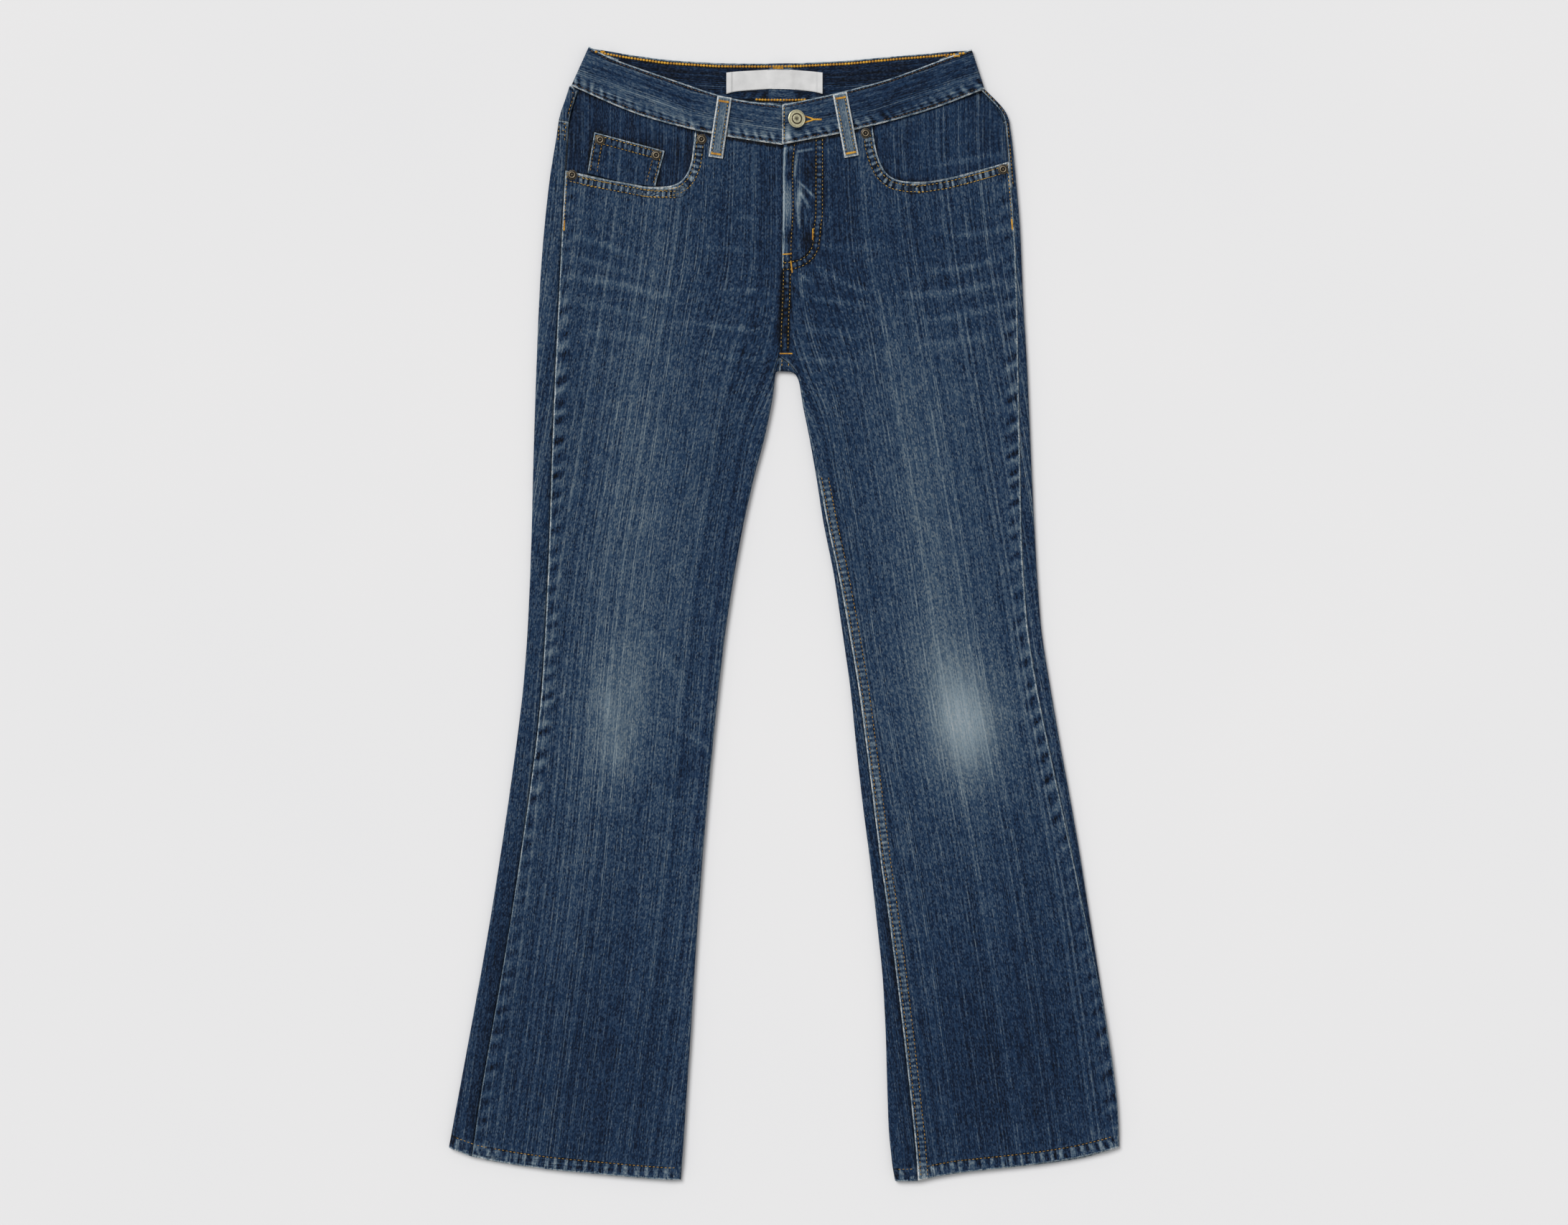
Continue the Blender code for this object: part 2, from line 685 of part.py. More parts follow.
def cloth(name, grids, finish, side=LEFT):
    """A closed wall of cloth from grids of skin points that share edges."""
    bm = bmesh.new()
    station = bm.verts.layers.int.new("station")
    skins = []
    for rows in grids:
        grid = bmesh.ops.create_grid(bm, x_segments=len(rows[0]) - 1,
                                     y_segments=len(rows) - 1, size=1.0)
        flat = [mirrored(skin, side) for row in rows for skin in row]
        for vert, skin in zip(grid["verts"], flat):
            vert.co = Vector(skin.point) * MM
            vert[station] = len(skins)
            skins.append(skin)
    bmesh.ops.remove_doubles(bm, verts=bm.verts[:], dist=1e-6)
    wall = bmesh.ops.extrude_face_region(bm, geom=bm.faces[:])
    for vert in wall["geom"]:
        if isinstance(vert, bmesh.types.BMVert):
            vert.co = Vector(skins[vert[station]].inside()) * MM
    return add_object(name, bm, finish)


def sheet_between(name, rows, finish, side=LEFT):
    """A wall from rows of pairs: a plan point with its lower and upper z."""
    skins = [[Skin((x, y, high), (0.0, 0.0, 1.0), high - low) for x, y, low, high in row]
             for row in rows]
    return cloth(name, [skins], finish, side)


def band_line(side, share):
    """Top and bottom plan points of the front of the band, and the ends."""
    out = band_fold_heading(side)
    (top_x, _), (low_x, _) = side.band_fold
    start = side.sign * CENTRE_X + SEAM_GAP / 2
    x_top = start + share * (top_x - out[0] * BAND_FOLD_RADIUS - start)
    x_low = start + share * (low_x - out[0] * BAND_FOLD_RADIUS - start)
    return (x_top, curve(side.band_top, x_top)), (x_low, curve(side.band_seam, x_low))


def band_back_line(side, share):
    """The same for the back of the band, from the centre outwards."""
    out = band_fold_heading(side)
    (top_x, _), (low_x, _) = side.band_fold
    x_top = share * (top_x - out[0] * BAND_FOLD_RADIUS)
    x_low = share * (low_x - out[0] * BAND_FOLD_RADIUS)
    top_y = curve(BACK_TOP, side.sign * x_top)
    return (x_top, top_y), (x_low, curve(BACK_SEAM, side.sign * x_low))


# Across the band: share from its top edge, and whether it is the rounded edge
BAND_ACROSS = ((0.0, True), (0.06, False), (0.94, False), (1.0, True))
BAND_FRONT_SHARES = (0.0, 0.09, 0.17, 0.23, 0.32, 0.41, 0.5, 0.6, 0.7, 0.8, 0.9, 1.0)


def band_height(side, x):
    """Height of the band's front face: its left end laps over the right."""
    lap = 1.0 - smoothstep((x - BAND_END_LENGTH) / 12.0) if side is LEFT else 0.0
    return 2 * BAND_FOLD_RADIUS + BAND_END_LIFT * lap


def band_station(side, top, low, height, normal):
    """The skins across the band at one station."""
    skins = []
    for share, edge in BAND_ACROSS:
        x, y = between(top, low, share)
        drop = BAND_EDGE_DROP * max(normal[2], 0.0) if edge else 0.0
        skins.append(mirrored(Skin((x, y, height - drop), normal, BAND_WALL - drop), side))
    return skins


def loop_shares(side, width):
    """Stations on the back of the band that clear a loop of a share."""
    reach = LOOP_WIDTH / 2 + LOOP_MARGIN
    return [(side.side_loop - (reach + LOOP_RAMP) / width, False),
            (side.side_loop - reach / width, True),
            (side.side_loop + reach / width, True),
            (side.side_loop + (reach + LOOP_RAMP) / width, False)]


def band_half(side):
    """Stations of one half of the ring, from centre front to centre back."""
    stations = []
    for share in BAND_FRONT_SHARES:
        top, low = band_line(side, share)
        stations.append(band_station(side, top, low, band_height(side, low[0]), (0, 0, 1.0)))
    out = band_fold_heading(side)
    quarter = BAND_FOLD_RADIUS * math.pi / 2
    folds = [Fold(x, y, out, 0.0, BAND_FOLD_RADIUS) for x, y in side.band_fold]
    for step in range(1, FOLD_STEPS):
        way = quarter * (1.0 - 2.0 * step / FOLD_STEPS)
        top, height, normal = folds[0].at(way)
        low, _, _ = folds[1].at(way)
        stations.append(band_station(side, top, low, height, normal))
    shares = [(1.0, False)] + loop_shares(side, side.band_fold[1][0])[::-1]
    shares += [(0.62, False), (0.35, False)]
    width = side.band_fold[0][0]
    centre_reach = LOOP_WIDTH / 2 + LOOP_MARGIN - side.sign * 2.7
    shares += [((centre_reach + LOOP_RAMP) / width, False), (centre_reach / width, True)]
    for share, lifted in shares:
        top, low = band_back_line(side, share)
        rise = UNDER_LIFT if lifted else 0.0
        stations.append(band_station(side, top, low, rise, (0, 0, -1.0)))
    return stations


def make_waistband():
    """One ring of band, open at the centre of the front."""
    stations = band_half(LEFT) + band_half(RIGHT)[::-1]
    return cloth("waistband", [stations], "denim")


def facing_height(side, x, y):
    """Height of the pocket facing's face under the front panel."""
    return top_height(side, x, y) - FACING_DROP


def make_facing(side):
    """The facing that shows in the scooped opening of a front pocket."""
    scoop = side.scoop
    under = []
    for i in range(len(scoop) - 1):
        before, after = scoop[max(i - 1, 0)], scoop[i + 1]
        size = math.dist(before, after)
        across = ((after[1] - before[1]) / size, -(after[0] - before[0]) / size)
        under.append((scoop[i][0] + across[0] * FACING_TUCK,
                      scoop[i][1] + across[1] * FACING_TUCK))
    first_x = scoop[0][0] - FACING_TUCK
    under[0] = (first_x, straight(side.band_seam, first_x) - BAND_GAP)
    seam_gap = 2 * SEAM_GAP

    def on_outseam(y):
        fold = outer_fold(side, y)
        return fold.at(fold.seam + seam_gap)[0]

    under.append(on_outseam(scoop[-1][1] - FACING_TUCK))
    corner = on_outseam(side.outer[0][0] - 1.2)
    over = []
    for share in (0.12, 0.28, 0.45, 0.62, 0.8):
        x = scoop[0][0] + share * (corner[0] - scoop[0][0])
        over.append((x, straight(side.band_seam, x) - BAND_GAP))
    over += [corner, on_outseam(470.0), on_outseam(452.0), on_outseam(434.0)]
    rows = []
    for low, high in zip(under, over):
        row = []
        for share in (0.0, 0.2, 0.4, 0.6, 0.8, 1.0):
            x, y = between(low, high, share)
            z = facing_height(side, x, y)
            row.append((x, y, z - FACING_CLOTH, z))
        rows.append(row)
    return sheet_between("pocket_facing_" + side.name, rows, "denim_dark", side)


def make_coin_pocket():
    """The small pocket on the right facing, down to the scoop's edge."""
    side = RIGHT
    rows = []
    for down in (0.0, 0.08, 0.5, 1.0):
        row = []
        for across in (0.0, 0.06, 0.35, 0.65, 0.94, 1.0):
            top = between(COIN_TOP[0], COIN_TOP[1], across)
            x_low = COIN_LOW_X[0] + across * (COIN_LOW_X[1] - COIN_LOW_X[0])
            low = (x_low, straight(side.scoop, x_low) + COIN_CLEARANCE)
            x, y = between(top, low, down)
            z = facing_height(side, x, y) + LAID_GAP
            row.append((x, y, z, z + FACING_CLOTH))
        rows.append(row)
    return sheet_between("coin_pocket", rows, "denim", side)


def make_back_pocket(side):
    """A plain patch pocket let in under the lifted back panel."""
    half, centre, top, corner, point = BACK_POCKET
    rows = []
    for down in (0.0, 0.5, 1.0):
        row = []
        for across in (-1.0, -0.5, 0.0, 0.5, 1.0):
            taper = 1.0 - 0.05 * down
            low = point + (corner - point) * abs(across)
            row.append((centre + across * half * taper, top + down * (low - top),
                        0.0, UNDER_TRIM))
        rows.append(row)
    return sheet_between("back_pocket_" + side.name, rows, "denim", side)


def make_front_loop(side):
    """A belt loop over the front of the band, arched between its ends."""
    top_x, top_y, low_x, low_y = side.front_loop
    length = math.hypot(top_x - low_x, top_y - low_y)
    along = ((low_x - top_x) / length, (low_y - top_y) / length)
    across = (-along[1], along[0])
    seam_share = (top_y - straight(side.band_seam, low_x - 3.0)) / (top_y - low_y)
    shares = (0.0, 0.06, 0.2, 0.4, seam_share - 0.05, seam_share + 0.04,
              seam_share + 0.14, 0.94, 1.0)
    rows = []
    for share in shares:
        x = top_x + along[0] * length * share
        y = top_y + along[1] * length * share
        seat = 2 * BAND_FOLD_RADIUS
        if share > seam_share + 0.1:
            seat = 2 * FOLD_RADIUS + HIP_SWELL + SIDE_RIDGE
        arch = 1.2 * math.sin(math.pi * min(share / 0.9, 1.0)) ** 2
        row = []
        for offset in (-0.5, -0.36, 0.36, 0.5):
            px = x + across[0] * LOOP_WIDTH * offset
            py = y + across[1] * LOOP_WIDTH * offset
            drop = 0.4 if abs(offset) == 0.5 else 0.0
            low = seat + LAID_GAP + arch
            row.append((px, py, low, low + LOOP_THICKNESS - drop))
        rows.append(row)
    return sheet_between("belt_loop_front_" + side.name, rows, "denim", side)


def make_under_loop(name, top, low, side=LEFT):
    """A belt loop under the back of the band, reaching past its seam."""
    size = math.dist(top, low)
    along = ((low[0] - top[0]) / size, (low[1] - top[1]) / size)
    across = (-along[1], along[0])
    start = (top[0] + along[0] * 1.0, top[1] + along[1] * 1.0)
    end = (low[0] + along[0] * 9.5, low[1] + along[1] * 9.5)
    rows = []
    for share in (0.0, 0.5, 1.0):
        x, y = between(start, end, share)
        row = []
        for offset in (-0.5, 0.5):
            row.append((x + across[0] * LOOP_WIDTH * offset,
                        y + across[1] * LOOP_WIDTH * offset, 0.0, UNDER_TRIM))
        rows.append(row)
    return sheet_between(name, rows, "denim", side)


def make_label():
    """The bare woven label on the inside of the back of the band."""
    rows = []
    for i, (x, high_y, low_y) in enumerate(LABEL):
        lifted = -11.0 <= x <= 5.6
        z = BAND_WALL + LAID_GAP + (UNDER_LIFT if lifted else 0.0)
        end = LABEL_END if i in (0, len(LABEL) - 1) else 0.0
        rows.append([(x, low_y, z, z + LABEL_THICKNESS + end),
                     (x, high_y, z, z + LABEL_THICKNESS + end)])
    return sheet_between("label", rows, "label_cloth")


def make_turned(name, profile, seat, tilt, finish):
    """A turned piece from a profile of radius and height, tilted about Y."""
    bm = bmesh.new()
    verts = [bm.verts.new((radius * MM, 0.0, height * MM)) for radius, height in profile]
    edges = [bm.edges.new(pair) for pair in zip(verts, verts[1:])]
    bmesh.ops.spin(bm, geom=verts + edges, cent=(0, 0, 0), axis=(0, 0, 1),
                   angle=2 * math.pi, steps=TURNED_STEPS, use_merge=True)
    bmesh.ops.remove_doubles(bm, verts=bm.verts[:], dist=1e-6)
    turn = Matrix.Translation(Vector(seat) * MM) @ Matrix.Rotation(math.radians(tilt), 4, "Y")
    bm.transform(turn)
    return add_object(name, bm, finish, sharp_angle=50.0)


RIVET_PROFILE = ((0.0, 0.0), (4.5, 0.0), (4.7, 0.35), (4.4, 0.8), (2.6, 1.1),
                 (1.9, 0.95), (1.6, 1.7), (0.9, 2.1), (0.0, 2.2))
BUTTON_PROFILE = ((0.0, 0.0), (3.2, 0.0), (3.2, 2.4), (7.6, 2.5), (8.4, 2.9),
                  (8.5, 3.7), (8.0, 4.4), (6.9, 4.7), (6.2, 4.3), (4.4, 4.5),
                  (3.6, 4.9), (1.4, 5.0), (0.0, 5.1))


def make_rivets():
    """Four rivets at the ends of the scoops and two on the coin pocket."""
    made = []
    for side in SIDES:
        for place, (x, y) in zip(("inner", "outer"), side.rivets):
            z = top_height(side, x, y) + SIDE_RIDGE + LAID_GAP
            made.append(make_turned(f"rivet_{side.name}_{place}", RIVET_PROFILE,
                                    (side.sign * x, y, z), 0.0, "antique_copper"))
    for place, (x, y) in zip(("outer", "inner"), COIN_RIVETS):
        z = facing_height(RIGHT, x, y) + FACING_CLOTH + 2 * LAID_GAP
        made.append(make_turned(f"rivet_coin_{place}", RIVET_PROFILE,
                                (-x, y, z), 0.0, "antique_copper"))
    return made


def make_button():
    """The shank button at the left end of the band, leaning a little."""
    x, y = BUTTON_AT
    lean = 3.2 * math.sin(math.radians(BUTTON_TILT))
    z = band_height(LEFT, x) + LAID_GAP + lean
    return make_turned("button", BUTTON_PROFILE, (x, y, z), BUTTON_TILT, "antique_brass")


def main():
    """Clear the scene and make every piece."""
    for obj in list(bpy.data.objects):
        bpy.data.objects.remove(obj, do_unlink=True)
    for side in SIDES:
        cloth("front_" + side.name, [front_panel_rows(side)], "denim", side)
        cloth("back_" + side.name, list(back_panel_grids(side)), "denim", side)
        cloth("yoke_" + side.name, [yoke_grid(side)], "denim", side)
        make_facing(side)
        make_back_pocket(side)
        make_front_loop(side)
        top, low = band_back_line(side, side.side_loop)
        make_under_loop("belt_loop_side_" + side.name, top, low, side)
    make_waistband()
    make_under_loop("belt_loop_back", (-2.7, 513.2), (-2.7, 475.0))
    make_coin_pocket()
    make_label()
    make_rivets()
    make_button()


main()
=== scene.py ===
"""Flared jeans laid flat on a pale floor: the cloth, sewing and metal over their solids.

The frame gives every solid in metres, with the waist along +Y, the front up and
the wearer's left on +X. Sizes here are in millimetres, times MM, but for the
studio's. Right and left are the wearer's.
"""

from __future__ import annotations

import logging
import math
from dataclasses import dataclass, field, replace
from enum import Enum
from typing import ClassVar

import bmesh
import bpy
import numpy as np
from mathutils import Matrix, Vector
from mathutils.bvhtree import BVHTree


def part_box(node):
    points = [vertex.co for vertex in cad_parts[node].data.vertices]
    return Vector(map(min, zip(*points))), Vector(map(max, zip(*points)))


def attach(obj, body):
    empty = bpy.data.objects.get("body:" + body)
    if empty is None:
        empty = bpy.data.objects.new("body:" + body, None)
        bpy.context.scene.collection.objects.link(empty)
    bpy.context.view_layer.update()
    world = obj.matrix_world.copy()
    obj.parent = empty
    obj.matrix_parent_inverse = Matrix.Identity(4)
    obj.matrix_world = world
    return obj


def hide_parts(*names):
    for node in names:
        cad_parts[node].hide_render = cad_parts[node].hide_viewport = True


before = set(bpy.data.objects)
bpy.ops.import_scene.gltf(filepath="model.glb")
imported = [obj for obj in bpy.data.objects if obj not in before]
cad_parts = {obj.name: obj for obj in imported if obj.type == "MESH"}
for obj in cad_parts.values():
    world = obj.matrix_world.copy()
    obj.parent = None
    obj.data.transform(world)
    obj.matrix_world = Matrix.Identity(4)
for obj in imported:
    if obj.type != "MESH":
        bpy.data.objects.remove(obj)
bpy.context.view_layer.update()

LOG = logging.getLogger("jeans")
MM = 0.001
LAYER_SPLIT = 3.35      # between the upper and the lower layer of cloth
EDGE_REACH = 24.0       # how far from an edge its sewing and wear are worked out
NO_ROW = -9.0           # distance that stands for no row of stitches
ROLLED = 25.0           # length over which an edge rolls under
UNSEWN = 12.0           # of which this much shows no stitches
LOW_LEG = (130.0, 300.0)    # distances below y = 0 over which seams get less worn
HIP = (280.0, 340.0)        # and the y over which they pucker less
POCKET_LOW = 300.0      # y below which an open edge is no pocket's
STRIP_LOW = 415.0       # y above which a back panel's upper edge is the strip by the pocket
SEWN_GAP = 1.35         # greatest distance of an edge from the piece that it is sewn to
PUCKER = 1.2            # height of a pucker for each unit of its lightness
EDGE_ROUNDING = (0.32, 0.9)     # how far an edge is rounded down, and over what width
PALE_FROM = (5.0, 9.0)  # distances from an edge over which the pale inner side begins
OUTSEAM = 120.0         # distance from the middle that parts side seams from inseams
SHARP = math.radians(50.0)      # between two faces, at an edge of the cloth
CORNER = math.radians(40.0)     # turn of an edge that divides it
SMOOTHED = math.radians(48.0)   # greatest angle shaded as smooth, and the same on metal
SMOOTHED_METAL = math.radians(45.0)
Point = tuple[float, float]
Array = np.ndarray
Socket = bpy.types.NodeSocket
Value = Socket | float | tuple


# ---- Colours and finishes ----

def linear(red: int, green: int, blue: int) -> tuple[float, float, float, float]:
    """Scene colour of a screen colour.

    Args:
        red, green, blue: screen values from 0 to 255.

    Returns:
        The linear colour with alpha 1.
    """
    values = []
    for value in (red, green, blue):
        share = value / 255.0
        values.append(share / 12.92 if share <= 0.04045 else ((share + 0.055) / 1.055) ** 2.4)
    return (values[0], values[1], values[2], 1.0)


class Thread(Enum):
    """The sewing threads, by colour."""

    GOLD = "gold"
    AMBER = "amber"
    BROWN = "brown"
    UMBER = "umber"


class Shade(Enum):
    """The denims, by how they were washed."""

    BODY = "body"
    BAND = "band"
    FACING = "facing"
    LOOP = "loop"


@dataclass(frozen=True)
class DenimFinish:
    """How one denim is washed and woven: strengths, in lightness."""

    streaks: float          # light and dark threads of the warp
    weft: float             # marks across them
    speckle: float          # fine grain and twill
    mottle: float           # uneven wash


DENIMS = {
    Shade.BODY: DenimFinish(0.28, 0.04, 0.19, 0.06),
    Shade.BAND: DenimFinish(0.36, 0.06, 0.15, 0.14),
    Shade.FACING: DenimFinish(0.27, 0.05, 0.16, 0.07),
    Shade.LOOP: DenimFinish(0.30, 0.08, 0.20, 0.16),
}

# Indigo from unworn to bleached: lightness and screen colour
INDIGO = (
    (0.00, (3, 7, 14)), (0.11, (8, 24, 46)), (0.21, (22, 46, 74)), (0.34, (54, 74, 95)),
    (0.46, (83, 100, 115)), (0.64, (122, 138, 148)), (0.80, (158, 168, 175)),
    (1.00, (212, 213, 211)),
)
COTTON = (168, 172, 174)    # the pale inside of denim
WEFT = (122, 122, 114)      # undyed threads showing through
WARPS = 10.6                # threads in a centimetre that the eye tells apart
FLOATS = 5.2                # and the steps along each of them


@dataclass(frozen=True)
class ThreadFinish:
    """Colours of one thread, light and worn."""

    light: tuple[int, int, int]
    dark: tuple[int, int, int]


THREADS = {
    Thread.GOLD: ThreadFinish((224, 168, 40), (166, 114, 20)),
    Thread.AMBER: ThreadFinish((212, 170, 74), (134, 108, 50)),
    Thread.BROWN: ThreadFinish((190, 146, 60), (116, 92, 44)),
    Thread.UMBER: ThreadFinish((108, 80, 52), (46, 38, 34)),
}


@dataclass(frozen=True)
class MetalFinish:
    """A fastening's metal: colour, patina in its hollows, and gloss."""

    bright: tuple[int, int, int]
    patina: tuple[int, int, int]
    roughness: float
    grain: float


BRASS = MetalFinish((224, 218, 184), (66, 56, 40), 0.42, 900.0)
COPPER = MetalFinish((132, 121, 102), (28, 23, 18), 0.42, 1100.0)


# ---- Node helpers ----

class Tree:
    """A node tree under construction, with short ways to add to it."""

    def __init__(self, tree: bpy.types.NodeTree) -> None:
        """Start on a node tree."""
        self.nodes = tree.nodes
        self.links = tree.links

    def add(self, kind: str, inputs: dict | None = None, **settings: object) -> bpy.types.Node:
        """Add a node.

        Args:
            kind: the node's type name.
            inputs: values or sockets for its inputs, by name or index.
            settings: its properties.

        Returns:
            The node.
        """
        node = self.nodes.new(kind)
        for name, value in settings.items():
            setattr(node, name, value)
        self.fill(node, inputs or {})
        return node

    def fill(self, node: bpy.types.Node, inputs: dict) -> None:
        """Feed several inputs of a node, by name or index."""
        for key, value in inputs.items():
            self.feed(node.inputs[key], value)

    def feed(self, socket: Socket, value: Value) -> None:
        """Link a socket, or set a number or colour, into an input."""
        if isinstance(value, Socket):
            self.links.new(value, socket)
        else:
            socket.default_value = value

    def math(self, operation: str, a: Value, b: Value = 0.0, clamp: bool = False) -> Socket:
        """Result of one arithmetic step."""
        node = self.add("ShaderNodeMath", {0: a, 1: b}, operation=operation, use_clamp=clamp)
        return node.outputs[0]

    def plus(self, a: Value, b: Value, clamp: bool = False) -> Socket:
        """One number and another."""
        return self.math("ADD", a, b, clamp)

    def minus(self, a: Value, b: Value) -> Socket:
        """One number less another."""
        return self.math("SUBTRACT", a, b)

    def times(self, a: Value, b: Value) -> Socket:
        """One number by another."""
        return self.math("MULTIPLY", a, b)

    def attribute(self, name: str, output: str = "Fac") -> Socket:
        """The piece's own number, or vector, of that name."""
        return self.add("ShaderNodeAttribute", attribute_name=name).outputs[output]

    def grain(self, name: str = "grain") -> Socket:
        """The piece's own map along its threads, in centimetres."""
        return self.add("ShaderNodeUVMap", uv_map=name).outputs["UV"]

    def here(self) -> Socket:
        """The place on the object."""
        return self.add("ShaderNodeTexCoord").outputs["Object"]

    def parts(self, vector: Value) -> tuple[Socket, ...]:
        """The three numbers of a vector."""
        return tuple(self.add("ShaderNodeSeparateXYZ", {0: vector}).outputs)

    def mapped(self, vector: Value, **settings: tuple[float, float, float]) -> Socket:
        """A map scaled or turned."""
        return self.add("ShaderNodeMapping", {"Vector": vector, **settings}).outputs["Vector"]

    def scaled(self, vector: Value, across: float, along: float) -> Socket:
        """A map with its two directions scaled apart."""
        return self.mapped(vector, Scale=(across, along, 1.0))

    def noise(self, vector: Value, scale: float = 1.0, detail: float = 2.0,
              roughness: float = 0.5) -> Socket:
        """A noise's height over a map."""
        node = self.add("ShaderNodeTexNoise", {"Vector": vector, "Scale": scale,
                                               "Detail": detail, "Roughness": roughness})
        return node.outputs[0]

    def bands(self, vector: Value, scale: float, distortion: float, along: str = "X") -> Socket:
        """Even bands across one direction of a map."""
        node = self.add("ShaderNodeTexWave", {"Vector": vector, "Scale": scale,
                                              "Distortion": distortion},
                        wave_type="BANDS", bands_direction=along)
        return node.outputs[1]

    def total(self, *parts: tuple[Value, float]) -> Socket:
        """Sum of noises about zero, each with its strength."""
        values = [self.times(self.minus(value, 0.5), strength) for value, strength in parts]
        result = values[0]
        for value in values[1:]:
            result = self.plus(result, value)
        return result

    def bump_at(self, value: Value, centre: Value, width: float) -> Socket:
        """1 where a value is at a centre, falling to 0 a width away."""
        gap = self.math("ABSOLUTE", self.minus(value, centre))
        return self.remap(gap, width * 0.3, width, 1.0, 0.0)

    def remap(self, value: Value, low: float, high: Value, to_low: float = 0.0,
              to_high: float = 1.0) -> Socket:
        """A value moved smoothly from one range to another."""
        node = self.add("ShaderNodeMapRange", {"Value": value, "From Min": low, "From Max": high,
                                               "To Min": to_low, "To Max": to_high},
                        interpolation_type="SMOOTHSTEP")
        return node.outputs["Result"]

    def mix(self, factor: Value, a: Value, b: Value) -> Socket:
        """One colour mixed with another."""
        node = self.add("ShaderNodeMix", {"Factor": factor, "A": a, "B": b}, data_type="RGBA")
        return node.outputs["Result"]

    def bump(self, height: Value, strength: float, distance: float, **more: Value) -> Socket:
        """The normal of a surface with a relief."""
        inputs = {"Strength": strength, "Distance": distance, "Height": height, **more}
        return self.add("ShaderNodeBump", inputs).outputs["Normal"]

    def group(self, tree: bpy.types.NodeTree, **inputs: Value) -> bpy.types.NodeOutputs:
        """What a node group gives for its inputs."""
        return self.add("ShaderNodeGroup", inputs, node_tree=tree).outputs


def new_group(name: str, vectors: tuple[str, ...], numbers: tuple[str, ...],
              outputs: tuple[str, ...]) -> tuple[bpy.types.NodeTree, Tree, dict, dict]:
    """A shader node group with named sockets.

    Args:
        name: the group's name.
        vectors: names of its inputs that are vectors.
        numbers: names of its inputs that are numbers.
        outputs: names of the numbers that it gives.

    Returns:
        The group, its tree, and its inputs' and its outputs' sockets inside.
    """
    group = bpy.data.node_groups.new(name, "ShaderNodeTree")
    for side, kind, names in (("INPUT", "NodeSocketVector", vectors),
                              ("INPUT", "NodeSocketFloat", numbers),
                              ("OUTPUT", "NodeSocketFloat", outputs)):
        for socket in names:
            group.interface.new_socket(socket, in_out=side, socket_type=kind)
    tree = Tree(group)
    entry, leave = tree.add("NodeGroupInput"), tree.add("NodeGroupOutput")
    return group, tree, entry.outputs, leave.inputs


def weave_group() -> bpy.types.NodeTree:
    """Denim's warp streaks, slubs, weft marks, grain and wash, from a map along its threads.

    Returns:
        The group.
    """
    group, t, given, out = new_group("denim_weave", ("Grain",),
                                     ("Streaks", "Weft", "Speckle", "Mottle"),
                                     ("Lightness", "Bare", "Height"))
    grain = given["Grain"]
    x, y, _ = t.parts(grain)
    warp = t.math("FLOOR", t.times(x, WARPS))
    dyed = t.add("ShaderNodeTexWhiteNoise", {"W": warp}, noise_dimensions="1D").outputs["Value"]
    step = t.plus(t.times(y, FLOATS), t.times(dyed, 7.0))
    cell = t.add("ShaderNodeCombineXYZ", {"X": warp, "Y": t.math("FLOOR", step)}).outputs[0]
    pick = t.add("ShaderNodeTexWhiteNoise", {"Vector": cell},
                 noise_dimensions="2D").outputs["Value"]
    threads = t.noise(t.scaled(grain, 10.5, 0.40), 1.0, 1.0, 0.6)
    weft = t.noise(t.scaled(grain, 0.9, 9.0), 1.0, 1.0, 0.6)
    wash = t.noise(t.scaled(grain, 0.55, 0.38), 1.0, 3.0, 0.6)
    turned = t.mapped(grain, Rotation=(0.0, 0.0, math.radians(58.0)))
    twill = t.noise(t.scaled(turned, 15.0, 5.0), 1.0, 1.0, 0.6)
    pale = t.times(t.remap(dyed, 0.80, 0.98), t.remap(threads, 0.36, 0.62))
    streak = t.plus(t.total((dyed, 0.52), (threads, 0.90)), t.times(pale, 0.40))
    light = t.times(streak, given["Streaks"])
    for value, strength in ((t.total((pick, 1.0), (twill, 0.8)), "Speckle"),
                            (t.total((weft, 2.0)), "Weft"), (t.total((wash, 2.0)), "Mottle")):
        light = t.plus(light, t.times(value, given[strength]))
    t.feed(out["Lightness"], light)
    t.feed(out["Bare"], t.plus(t.remap(pick, 0.45, 1.0), t.times(pale, 0.5), clamp=True))
    t.feed(out["Height"], t.plus(t.times(threads, 0.5), t.times(twill, 0.7)))
    return group


